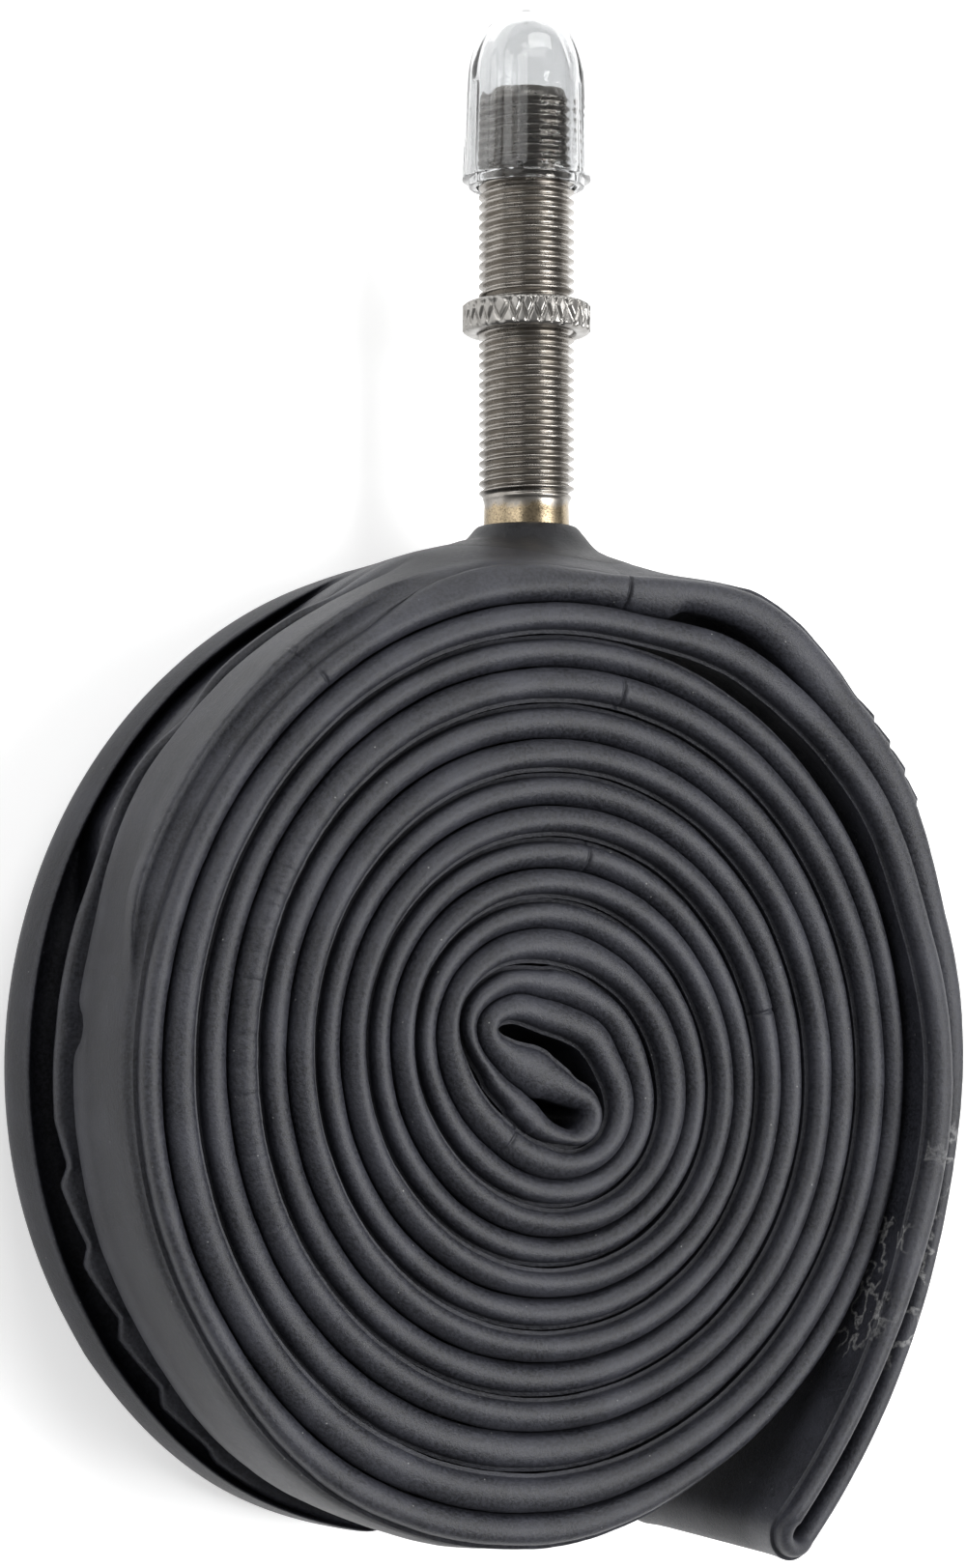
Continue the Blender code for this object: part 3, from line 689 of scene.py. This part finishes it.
class Band:
    """The band's stations as arrays, and where on it the outer side is shaped in detail."""

    def __init__(self, rows):
        self.centre = np.array([row[0] for row in rows])
        self.inward = np.array([row[1] for row in rows])
        self.turn = np.array([row[3] for row in rows])
        first_turns = 1.0 - smooth_steps(1.8, 2.6, self.turn)
        self.half = np.array([row[2] for row in rows]) - 0.04 + 0.06 * first_turns
        self.outer = np.array([row[4] for row in rows])
        self.count = len(rows)
        self.distance = np.linalg.norm(self.centre, axis=1)
        self.radial = self.centre / self.distance[:, None]
        self.degree = (self.turn * 360.0 + 180.0) % 360.0 - 180.0
        lengths = np.linalg.norm(np.diff(self.centre, axis=0), axis=1)
        self.arc = np.concatenate([[0.0], np.cumsum(lengths)])
        self.slow = 1.0 + 0.03 * wave(self.arc / 9.0, 3)
        self.last = self.outer * (self.turn > LAST_TURN_FROM)
        self.detail = window(self.degree, *DETAIL_AT) * self.last
        self.spread = window(self.degree, *SPREAD_AT) * self.last
        self.top = smooth_steps(*TOP_BEGINS, self.degree) * self.last

    def forward(self):
        """How far strands stand forward, as rolled by hand, and the tail by a few millimetres.

        The first result shifts a station as a whole, and the second one fades towards the rear."""
        tail = smooth_steps(*TAIL_FORWARD_AT, self.turn)
        shift = tail * (TAIL_FORWARD_INNER + (TAIL_FORWARD_OUTER - TAIL_FORWARD_INNER) * self.outer)
        wander = 0.16 * wave(self.turn * 0.83, 1) + 0.1 * wave(self.turn * 2.3 + self.outer * 3.3, 2)
        wander += 0.3 - 0.5 * self.outer
        last_turn = smooth_steps(*STRANDS_STAY_LEVEL, self.turn) * self.outer
        return shift, wander * smooth_steps(0.5, 1.4, self.turn) * (1.0 - 0.75 * last_turn) * (1.0 - tail)

    def flare(self):
        """How much each turn's rear end leans outwards, at the left."""
        return FLARE * np.clip((self.turn - 2.0) / 4.7, 0.0, 1.0) * window(self.degree, *FLARE_AT)


def ribbon(band, out, up, k):
    """The narrow ribbon behind the crevice: smooth at the left, folded in triangles below, twisted above."""
    folds = window(band.degree, *FOLDS_AT)
    phase = (band.arc / FOLD_LENGTH) % 1.0
    tooth = np.where(phase < FOLD_RISES, phase / FOLD_RISES, (1.0 - phase) / (1.0 - FOLD_RISES))
    weight = RIBBON_WEIGHTS[k - RIBBON_BEGINS]
    twist = np.exp(-(((band.degree - RIBBON_TWISTS_AT_DEG) / 4.5) ** 2))
    rise = window(band.degree, *RIBBON_RISES_AT)
    out = out + folds * weight * (0.75 * tooth - 0.55) + weight * (1.15 * rise - 0.7 * twist)
    up = up + folds * weight * (0.3 - 0.5 * tooth) + weight * 0.5 * rise
    return out, up


def detailed_side(band, k):
    """How far point k of the outer side stands out from the plain strand, and its height, at each station."""
    stand, height = SIDE[k]
    out = np.full(band.count, stand)
    up = np.full(band.count, height)
    fade = 1.0 if k < LOBE_ENDS else max(0.0, (LIFT_ENDS - k) / 6.0)
    lift = LIFT * smooth_steps(*LIFT_BEGINS, band.degree)
    out = out + lift * LIFT_SHARES[min(k, len(LIFT_SHARES) - 1)] * fade
    if k < len(SEAM):
        seam = window(band.degree, *SEAM_AT)
        crinkle = (0.12 * wave(band.arc / 3.1, 5) + 0.14 * wave(band.arc / 1.1, 6)) * SEAM_CRINKLES[k]
        out = out * (1.0 - seam) + (SEAM[k][0] + 0.4 * np.abs(crinkle)) * seam
        up = up * (1.0 - seam) + (SEAM[k][1] + crinkle) * seam
    if LOBE_BEGINS <= k <= LOBE_ENDS:
        out = out + 0.05 * wave(band.arc / 17.0, 8)
    if k >= LIP_BEGINS:
        out = out * np.interp(band.degree, *LIP_SHARES)
    if HOLLOW_BEGINS <= k <= HOLLOW_ENDS:
        out = out + HOLLOW_FILLS[k - HOLLOW_BEGINS] * smooth_steps(*HOLLOW_FILLS_FROM, band.degree)
    dent = np.exp(-(((band.degree - DENT_AT_DEG) / 2.2) ** 2))
    out = out - DENT_DEPTH * dent * math.exp(-(((height - DENT_HEIGHT) / 1.3) ** 2))
    if CREVICE_BEGINS <= k <= HOLLOW_BEGINS:
        share = np.interp(height, [9.1, 9.4, 11.4, 17.0], [0.0, 1.0, 1.0, 0.0])
        up = up - np.interp(band.degree, *CREVICE_DROPS) * share
    if RIBBON_BEGINS <= k <= RIBBON_ENDS:
        out, up = ribbon(band, out, up, k)
    top_height = 24.9 - 24.9 * (k / (len(SIDE) - 1.0)) ** 1.15
    out = out * (1.0 - band.top) + top_side(band.degree, top_height) * band.top
    up = up * (1.0 - band.top) + top_height * band.top
    return out, up


def plain_side(count):
    """The plain section's back part, resampled to as many points as the detailed one has."""
    path = np.array([(1.0, 1.25)] + PLAIN_BACK + PLAIN_REAR)
    steps = np.linspace(0.0, len(path) - 1.0, count)
    return np.stack([np.interp(steps, np.arange(len(path)), path[:, k]) for k in (0, 1)], axis=1)


def exterior_side(band):
    """Offsets from the centre line and depths behind the front: the bead, then the side down to the rear."""
    offsets, depths = [], []
    front = np.interp(band.degree, *EDGE_STANDS) * band.top * band.detail
    for share, depth in BEAD:
        offsets.append((band.half + np.maximum(front - 0.35, -0.3) * share ** 2) * share * band.slow)
        depths.append(np.full(band.count, depth))
    plain = plain_side(len(SIDE))
    for k in range(len(SIDE)):
        out, up = detailed_side(band, k)
        flat_offset = band.half * plain[k, 0] * band.slow
        flat_height = BAND_WIDTH - plain[k, 1]
        offsets.append(flat_offset * (1.0 - band.detail) + (band.half + 0.04 + out) * band.detail)
        depths.append(BAND_WIDTH - (flat_height * (1.0 - band.detail) + up * band.detail))
    return offsets, depths


def add_ridges(band, offsets, depths):
    """A few overlapping ridges in the outside of the last turn, right of the valve."""
    along = (band.degree - RIDGES_FROM_DEG) * math.radians(1.0) * RIDGES_AT_RADIUS / RIDGE_PITCH
    tooth = (along % 1.0) ** 0.75 * (1.0 - smooth_steps(0.8, 1.0, along % 1.0))
    tooth = tooth * RIDGE_HEIGHT * band.last * window(band.degree, *RIDGES_AT)
    for k in range(3, len(offsets)):
        high = BAND_WIDTH - depths[k]
        offsets[k] = offsets[k] + tooth * np.clip((high - 12.0) / 9.0, 0.0, 1.0) * min(1.0, (k - 2) / 4.0)


def interior_side(band):
    """The same from the rear end back to the front, and over the crown."""
    away = np.clip((band.degree - BUMP_AT_DEG) / BUMP_HALF_WIDTH_DEG, -1.0, 1.0)
    hump = BUMP_HEIGHT * np.cos(away * math.pi / 2.0) ** 2
    fill = hump * band.last * (1.0 - smooth_steps(16.8, 19.6, band.degree))
    path = (BEAD + PLAIN_BACK + PLAIN_REAR)[::-1]
    offsets = [-(band.half * band.slow + fill) * share for share, _ in path]
    depths = [np.full(band.count, depth) for _, depth in path]
    return offsets + [np.zeros(band.count)], depths + [np.zeros(band.count)]


def crown_marks(band):
    """Depth of the fine transverse cracks on the strands' crowns, and of a row of moulded ribs."""
    sink = np.zeros(band.count)
    for at, on_outer, depth in CREASES:
        away = (band.turn - at) * 2.0 * math.pi * band.distance
        sink += depth * np.exp(-((away / CREASE_WIDTH) ** 2)) * (np.abs(band.outer - on_outer) < 0.5)
    ribs = window(band.turn, *RIBS_AT) * (band.outer < 0.5)
    uneven = np.clip(wave(band.arc / 2.1, 11) + 0.2 * np.sin(band.arc * 5.3), 0.0, 1.0)
    return sink + ribs * RIB_DEPTH * uneven


def wound_tube():
    band = Band(band_rows())
    offsets, depths = exterior_side(band)
    exterior = len(offsets)
    add_ridges(band, offsets, depths)
    inside_offsets, inside_depths = interior_side(band)
    offsets = np.array(offsets + inside_offsets).T
    depths = np.array(depths + inside_depths).T
    depths = depths + crown_marks(band)[:, None] * np.clip(1.0 - depths / 3.0, 0.0, 1.0)

    shift, wander = band.forward()
    fade = np.clip(1.0 - depths / BAND_WIDTH, 0.0, 1.0)
    height = np.maximum(BAND_WIDTH - depths + shift[:, None] + wander[:, None] * fade, 0.0)
    lean = band.flare()[:, None] * np.clip(1.0 - height / 8.5, 0.0, 1.0)
    lean[:, :exterior] *= (1.0 - band.spread)[:, None]
    centre, inward, radial = (values[:, :, None] for values in (band.centre, band.inward, band.radial))
    x = centre[:, 0] - inward[:, 0] * offsets + radial[:, 0] * lean + ROLL_X
    y = centre[:, 1] - inward[:, 1] * offsets + radial[:, 1] * lean + ROLL_Y
    points = np.stack([x, y, height], axis=2).reshape(-1, 3)
    return new_object("wound_tube", points, grid_faces(*offsets.shape, True, True), "tube")


finish_piece(wound_tube(), "tube_body", TUBE_RUBBER)

# ---------------- the valve's rubber base

BASE_SEGMENTS = 120
BASE_PROFILE = [
    (3.62, 1.0), (3.6, 4.3), (3.68, 4.52), (3.82, 4.6), (4.02, 4.54), (4.25, 4.34), (4.5, 4.02), (4.8, 3.68),
    (5.1, 3.42), (5.45, 3.24), (5.85, 3.12), (6.3, 3.03), (6.8, 2.98), (7.6, 2.95), (8.6, 2.92), (9.6, 2.88),
    (10.2, 2.5),
]
SEARCH_HALF_WIDTH_DEG = 60.0
SEARCH_STEPS = 24


def outside_height(x, z):
    """How high the outside of the band lies near the valve, measured from the foot of the valve."""
    low, high = -SEARCH_HALF_WIDTH_DEG, SEARCH_HALF_WIDTH_DEG
    for _ in range(SEARCH_STEPS):
        middle = (low + high) / 2.0
        centre, normal, half = strand_station(7.0 + middle / 360.0, True)
        if (centre + normal * half).x < x:
            low = middle
        else:
            high = middle
    centre, normal, half = strand_station(7.0 + low / 360.0, True)
    return (centre + normal * half).y - VALVE_FOOT_Y + float(top_side(low, z)) / max(0.5, normal.y)


def base_height(r, v, x, y):
    """The boss keeps its profile. Further out, the pad follows the band, and dips under at its edge."""
    share = smooth_step(4.7, 6.0, r)
    surface = outside_height(x + VALVE_OFFSET_X, VALVE_Z + y)
    lift = 0.06 * (1.0 - smooth_step(8.0, 9.4, r)) - 0.3 * smooth_step(8.6, 10.2, r)
    return v * (1.0 - share) + (surface + lift + 0.25 * (1.0 - smooth_step(5.3, 7.2, r))) * share


def valve_base():
    points = []
    for r, v in BASE_PROFILE:
        for angle in np.linspace(0.0, 2.0 * math.pi, BASE_SEGMENTS, endpoint=False):
            x, y = r * math.sin(angle), r * math.cos(angle)
            points.append(valve_place(x, y, base_height(r, v, x, y)))
    faces = grid_faces(len(BASE_PROFILE), BASE_SEGMENTS, True, True)
    return new_object("valve_base", points, faces, "tube")


finish_piece(valve_base(), "valve_base_patch", BASE_RUBBER)

# ---------------- the stem with its thread

THREAD_PITCH = 0.794


def thread(phase):
    """Depth of a rounded 60 degree thread of depth 1, at a share of its pitch."""
    distance = np.abs((phase % 1.0) - 0.5) * 2.0
    return np.clip((distance - 0.12) / 0.76, 0.0, 1.0)


def stem_thread(angles, v):
    return thread(v / THREAD_PITCH - angles / (2.0 * math.pi))


STEM_FOOT = [(1.9, 2.1), (3.45, 2.1), (3.45, 3.4), (3.47, 4.4), (3.44, 5.2), (3.42, 5.9), (3.4, 6.25)]
# The stem's top and bore: radius, and depth below the top.
STEM_HEAD = [
    (3.55, 0.62), (3.4, 0.4), (3.2, 0.12), (3.1, 0.0), (2.95, 0.0), (2.66, 0.3), (2.65, 3.0), (2.65, 7.6),
    (1.9, 8.8), (1.9, STEM_TOP - 20.0),
]
THREAD_RADIUS = 3.86
THREAD_ROOT = 3.36
THREAD_FADES_TO = 3.42
THREAD_LOW = 6.5
THREAD_HIGH = STEM_TOP - 0.75
ROWS_PER_PITCH = 10


def below_top(profile):
    """Turns depths below the top of the stem into heights."""
    return [(r, STEM_TOP - q) for r, q in profile]


def valve_stem():
    count = int((THREAD_HIGH - THREAD_LOW) / THREAD_PITCH * ROWS_PER_PITCH)
    rows = [(THREAD_RADIUS, v) for v in np.linspace(THREAD_LOW, THREAD_HIGH, count)]
    start, end = len(STEM_FOOT), len(STEM_FOOT) + count

    def radius_at(angles, v, index, r):
        if not start <= index < end:
            return np.full(len(angles), float(r))
        ends = 1.0 - 0.4 * smooth_step(THREAD_HIGH - 0.5, THREAD_HIGH, v)
        fade = smooth_step(THREAD_LOW, THREAD_LOW + 0.9, v) * ends
        worn = 1.0 + 0.02 * np.sin(angles * 3.0 + v * 0.7)
        crest = THREAD_FADES_TO + (r - THREAD_FADES_TO) * fade
        return crest - (crest - THREAD_ROOT) * stem_thread(angles, v) * fade * worn

    return turned("threaded_stem", STEM_FOOT + rows + below_top(STEM_HEAD), 96, "tube", radius_at)


def stem_material():
    n = Nodes("nickelled_brass_stem")
    _, along, _ = n.axes()
    cloud = n.noise(0.55, 4.0, 0.62)
    fine = n.noise(6.0, 3.0, 0.6)
    nickel = n.mix(n.span(cloud, 0.4, 0.7, 0.0, 0.6), (0.32, 0.302, 0.28), (0.21, 0.19, 0.163))
    edge = n.math("ADD", along, n.span(cloud, 0.0, 1.0, -1.2, 1.2))
    bare = n.span(edge, FOOT_Y + 5.9, FOOT_Y + 6.5, 1.0, 0.0)
    brass = n.mix(n.span(fine, 0.45, 0.7, 0.0, 0.8), (0.36, 0.29, 0.19), (0.12, 0.09, 0.06))
    colour = n.mix(bare, nickel, brass)
    colour = n.mix(n.span(fine, 0.6, 0.78, 0.0, 0.5), colour, (0.06, 0.05, 0.04))
    rough = n.span(cloud, 0.3, 0.7, 0.2, 0.36)
    n.height(fine, 0.012, 0.5)
    return n.set(Base_Color=colour, Roughness=rough, Metallic=1.0)


finish_piece(valve_stem(), "valve_stem", stem_material())

# ---------------- the knurled nut

NUT_LOW = 20.1
NUT_HIGH = 22.6
NUT_END = [(3.98, 0.1), (4.1, 0.0), (4.6, 0.0), (4.82, 0.04), (5.02, 0.16)]
NUT_RADIUS = 5.16
KNURL_ROWS = 22
KNURL_ENDS = 0.28
KNURL_COUNT = 30.0
KNURL_DEPTH = 0.26


def rim_nut():
    """The nut, with two crossing rows of slightly uneven grooves."""
    rows = np.linspace(NUT_LOW + KNURL_ENDS, NUT_HIGH - KNURL_ENDS, KNURL_ROWS)
    upper = [(r, NUT_HIGH - q) for r, q in NUT_END]
    lower = [(r, NUT_LOW + q) for r, q in NUT_END]
    profile = upper + [(NUT_RADIUS, v) for v in rows[::-1]] + lower[::-1]

    def radius_at(angles, v, index, r):
        if not len(upper) <= index < len(upper) + KNURL_ROWS:
            return np.full(len(angles), float(r))
        lean = (v - NUT_LOW) / (NUT_HIGH - NUT_LOW)
        along = angles / (2.0 * math.pi) * KNURL_COUNT
        warp = 0.16 * np.sin(angles * 5.0 + 1.0) + 0.1 * np.sin(angles * 11.0)
        right = np.abs(((along + lean + warp) % 1.0) - 0.5) * 2.0
        left = np.abs(((along - lean + 0.37 + warp * 0.6) % 1.0) - 0.5) * 2.0
        groove = np.maximum(np.clip((right - 0.55) / 0.45, 0.0, 1.0), np.clip((left - 0.6) / 0.4, 0.0, 1.0))
        edge = smooth_step(NUT_LOW + 0.2, NUT_LOW + 0.5, v) * smooth_step(NUT_HIGH - 0.2, NUT_HIGH - 0.5, v)
        return r - KNURL_DEPTH * groove * (0.45 + 0.55 * edge)

    return turned("knurled_nut", profile, 540, "nut", radius_at)


finish_piece(rim_nut(), "rim_nut", NUT_NICKEL)

# ---------------- the clear cap

CAP_BOTTOM = 31.9
CAP_TOP = 46.2
CAP_WALL = 0.9
CAP_RADIUS = 5.2
CAP_TAPER = 0.42
CAP_BORE = 4.02
CAP_SIDE_LOW = 0.62
CAP_SIDE_HIGH = 8.62
CAP_BORE_HIGH = 8.3
CAP_BORE_LOW = 0.2
CAP_FOOT = [(4.08, 0.0), (4.6, 0.0), (4.68, 0.06), (4.68, 0.5), (4.75, 0.58), (5.12, 0.58)]
CAP_SIDE_ROWS = 25
CAP_DOME_ROWS = 18
CAP_BORE_ROWS = 24
FLUTES = 16.0
FLUTE_DEPTH = 0.1
RIBS = 8.0
RIB_HEIGHT = 0.12
CAP_THREAD_DEPTH = 0.06
POLE_RADIUS = 1e-4


def dome(radius, low, high):
    """A quarter of an ellipse, from the side up to the pole."""
    angles = [math.pi / 2.0 * k / CAP_DOME_ROWS for k in range(CAP_DOME_ROWS + 1)]
    return [(radius * math.cos(a) + POLE_RADIUS, low + (high - low) * math.sin(a)) for a in angles]


def valve_cap():
    """The cap, fluted outside, with ribs and a fine thread inside."""
    foot = [(r, CAP_BOTTOM + v) for r, v in CAP_FOOT]
    shares = [k / CAP_SIDE_ROWS for k in range(CAP_SIDE_ROWS + 1)]
    rise = CAP_SIDE_HIGH - CAP_SIDE_LOW
    side = [(CAP_RADIUS - CAP_TAPER * share, CAP_BOTTOM + CAP_SIDE_LOW + share * rise) for share in shares]
    outer_dome = dome(CAP_RADIUS - CAP_TAPER, CAP_BOTTOM + CAP_SIDE_HIGH, CAP_TOP)[1:]
    inner_dome = dome(CAP_BORE, CAP_BOTTOM + CAP_BORE_HIGH, CAP_TOP - CAP_WALL)[::-1]
    drop = (CAP_BORE_HIGH - CAP_BORE_LOW) / CAP_BORE_ROWS
    bore = [(CAP_BORE, CAP_BOTTOM + CAP_BORE_HIGH - drop * k) for k in range(1, CAP_BORE_ROWS + 1)]
    fluted_first = len(foot)
    fluted_last = fluted_first + len(side) + 12
    bore_first = len(foot + side + outer_dome + inner_dome)

    def radius_at(angles, v, index, r):
        if fluted_first <= index < fluted_last:
            fade = smooth_step(CAP_BOTTOM + 0.6, CAP_BOTTOM + 1.2, v)
            fade *= 1.0 - smooth_step(CAP_BOTTOM + 8.6, CAP_TOP - 0.8, v)
            return r - FLUTE_DEPTH * fade * (0.5 - 0.5 * np.cos(angles * FLUTES))
        if index >= bore_first:
            ribs = np.clip(np.cos(angles * RIBS + 0.4) - 0.55, 0.0, 1.0) / 0.45
            return r + CAP_THREAD_DEPTH * stem_thread(angles, v) - RIB_HEIGHT * ribs
        return np.full(len(angles), float(r))

    return turned("clear_cap", foot + side + outer_dome + inner_dome + bore, 192, "cap", radius_at)


finish_piece(valve_cap(), "valve_cap", CLEAR)

# ---------------- the valve core
# Each profile is radius, and depth below the top of the stem.
PLUG_HEAD = [(0.95, 1.2), (2.1, 1.2), (2.3, 1.32), (2.36, 1.5), (2.36, 2.4)]
PLUG_THREAD_ROWS = 40
PLUG_THREAD = [(2.45, 2.5 + 2.8 * k / PLUG_THREAD_ROWS) for k in range(PLUG_THREAD_ROWS + 1)]
PLUG_END = [(2.2, 5.4), (0.95, 5.4)]
PLUG_PITCH = 0.705
PLUG_FLAT = 1.3
BARREL = [
    (0.75, 5.7), (2.15, 5.7), (2.3, 5.85), (2.3, 6.7), (1.45, 6.7), (1.45, 8.9), (1.6, 9.05), (1.65, 9.2),
    (1.65, 12.4), (1.55, 12.5), (0.75, 12.5), (0.75, 11.6), (1.15, 11.6), (1.15, 6.6), (0.75, 6.6),
]
GASKET = [(1.55, 6.9), (2.2, 6.9), (2.3, 7.0), (2.3, 7.5), (1.95, 8.2), (1.74, 8.65), (1.55, 8.7)]
PIN = [
    (POLE_RADIUS, 0.5), (0.5, 0.5), (0.66, 0.56), (0.7, 0.66), (0.7, 0.86), (0.62, 0.95), (0.5, 1.02),
    (0.5, 7.0), (0.95, 7.0), (0.95, 7.5), (0.5, 7.5), (0.5, 14.6), (0.42, 14.7), (POLE_RADIUS, 14.7),
]
CUP = [(1.28, 13.0), (1.45, 13.0), (1.45, 14.1), (1.2, 14.4), (0.6, 14.4), (0.6, 13.95), (1.28, 13.95)]
SEAL = [(0.6, 12.7), (1.05, 12.7), (1.18, 12.82), (1.18, 13.85), (0.6, 13.85)]


def plug_radius(angles, v, index, r):
    """The plug's thread, and the two flats by which a key turns it."""
    depth = STEM_TOP - v
    radii = np.full(len(angles), float(r))
    if len(PLUG_HEAD) <= index < len(PLUG_HEAD) + len(PLUG_THREAD):
        radii -= 0.22 * thread(depth / PLUG_PITCH + angles / (2.0 * math.pi))
    if r > 1.5 and depth < 2.45:
        radii = np.minimum(radii, PLUG_FLAT / np.maximum(np.abs(np.sin(angles)), 1e-6))
    return radii


def core_piece(name, profile, segments, body, node, material, radius_at=None):
    finish_piece(turned(name, below_top(profile), segments, body, radius_at), node, material)


PLUG = PLUG_HEAD + PLUG_THREAD + PLUG_END
core_piece("core_plug_visual", PLUG, 96, "plug", "core_plug", CORE_BRASS, plug_radius)
core_piece("core_barrel_visual", BARREL, 64, "core", "core_barrel", CORE_BRASS)
core_piece("gasket_visual", GASKET, 64, "core", "barrel_gasket", GASKET_RED)
core_piece("valve_pin_visual", PIN, 48, "pin", "valve_pin", PIN_BRASS)
core_piece("seal_cup_visual", CUP, 48, "pin", "seal_cup", CORE_BRASS)
core_piece("cup_seal_visual", SEAL, 48, "pin", "cup_seal", SEAL_RUBBER)

SPRING_TURNS = 5
SPRING_POINTS_PER_TURN = 24
SPRING_SIDES = 8
SPRING_RADIUS = 0.82
SPRING_WIRE = 0.11
SPRING_LOW = STEM_TOP - 11.4 + SPRING_WIRE
SPRING_HIGH = STEM_TOP - 7.7 - SPRING_WIRE


def coil_spring():
    """The pin's spring, a coil of wire between the barrel and the pin; it rides on no body."""
    count = SPRING_TURNS * SPRING_POINTS_PER_TURN + 1
    points = []
    for k in range(count):
        angle = 2.0 * math.pi * k / SPRING_POINTS_PER_TURN
        rise = SPRING_LOW + (SPRING_HIGH - SPRING_LOW) * k / (count - 1.0)
        for j in range(SPRING_SIDES):
            around = 2.0 * math.pi * j / SPRING_SIDES
            r = SPRING_RADIUS + SPRING_WIRE * math.cos(around)
            v = rise + SPRING_WIRE * math.sin(around)
            points.append(valve_place(r * math.cos(angle), r * math.sin(angle), v))
    ends = [list(range(SPRING_SIDES)), list(range((count - 1) * SPRING_SIDES, count * SPRING_SIDES))]
    faces = grid_faces(count, SPRING_SIDES, False, True).tolist() + ends
    obj = new_object("pin_spring_visual", points, faces, None)
    finish_piece(obj, "pin_spring", SPRING_STEEL)
    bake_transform(obj)


coil_spring()

# ---------------- floor, light and camera

def floor_material():
    n = Nodes("studio_floor")
    tone = n.noise(0.02, 2.0)
    colour = n.mix(tone, (0.9, 0.9, 0.9), (0.94, 0.94, 0.94))
    n.set(Emission_Color=colour, Emission_Strength=0.5)
    return n.set(Base_Color=colour, Roughness=n.span(tone, 0.3, 0.7, 0.85, 0.95), Specular_IOR_Level=0.1)


FLOOR_HALF_SIZE = 3.0
FLOOR_GAP = 0.0002
WORLD_STRENGTH = 0.26
CENTRE = (0.0, 0.0, 0.0)
# Name, place in metres, size in metres and power in watts.
LIGHTS = (
    ("key", (-0.75, 0.35, 0.42), (0.5, 0.7), 2.6),
    ("right", (0.5, -0.05, 0.8), (0.4, 0.5), 8.6),
    ("top", (0.05, 0.8, 0.6), (0.7, 0.4), 4.2),
)
CAMERA_TILT_DEG = 26.0
CAMERA_DISTANCE = 303.0
CAMERA_LEFT = 3.5
CAMERA_AIM_Y = 5.713
LENS = 86.50647
SHIFT_Y = 0.1346272


def floor():
    corners = [(-FLOOR_HALF_SIZE, -FLOOR_HALF_SIZE), (FLOOR_HALF_SIZE, -FLOOR_HALF_SIZE)]
    corners += [(x, -y) for x, y in corners[::-1]]
    mesh = bpy.data.meshes.new("studio_floor")
    mesh.from_pydata([(x, y, 0.0) for x, y in corners], [], [(0, 1, 2, 3)])
    mesh.materials.append(floor_material())
    obj = bpy.data.objects.new("studio_floor", mesh)
    obj.location = (0.0, 0.0, -FLOOR_GAP)
    bpy.context.scene.collection.objects.link(obj)


def studio_world():
    world = bpy.data.worlds.new("studio")
    world.use_nodes = True
    background = world.node_tree.nodes["Background"]
    background.inputs["Color"].default_value = (1.0, 1.0, 1.0, 1.0)
    background.inputs["Strength"].default_value = WORLD_STRENGTH
    bpy.context.scene.world = world


def soft_light(name, place, size, power):
    """A rectangular light that faces the middle of the part."""
    data = bpy.data.lights.new(name, "AREA")
    data.shape = "RECTANGLE"
    data.size, data.size_y = size
    data.energy = power
    light = bpy.data.objects.new(name, data)
    light.location = place
    light.rotation_mode = "QUATERNION"
    light.rotation_quaternion = (Vector(CENTRE) - Vector(place)).to_track_quat("-Z", "Y")
    bpy.context.scene.collection.objects.link(light)


def camera():
    """Looks down on the roll from its left, with the picture's axis below its middle."""
    tilt = math.radians(CAMERA_TILT_DEG)
    back = Vector((-math.sin(tilt), 0.0, math.cos(tilt)))
    right = Vector((math.cos(tilt), 0.0, math.sin(tilt)))
    aim = Vector((VALVE_X, ROLL_Y + CAMERA_AIM_Y, VALVE_Z))
    data = bpy.data.cameras.new("camera")
    data.sensor_width = 36.0
    data.lens = LENS
    data.shift_y = SHIFT_Y
    data.clip_start = 0.01
    data.clip_end = 20.0
    obj = bpy.data.objects.new("camera", data)
    place = (aim + back * CAMERA_DISTANCE - right * CAMERA_LEFT) * MM
    turn = Matrix((right, Vector((0.0, 1.0, 0.0)), back)).transposed()
    obj.matrix_world = Matrix.Translation(place) @ turn.to_4x4()
    bpy.context.scene.collection.objects.link(obj)
    bpy.context.scene.camera = obj


floor()
studio_world()
for light in LIGHTS:
    soft_light(*light)
camera()
bpy.context.scene.view_settings.view_transform = "Standard"
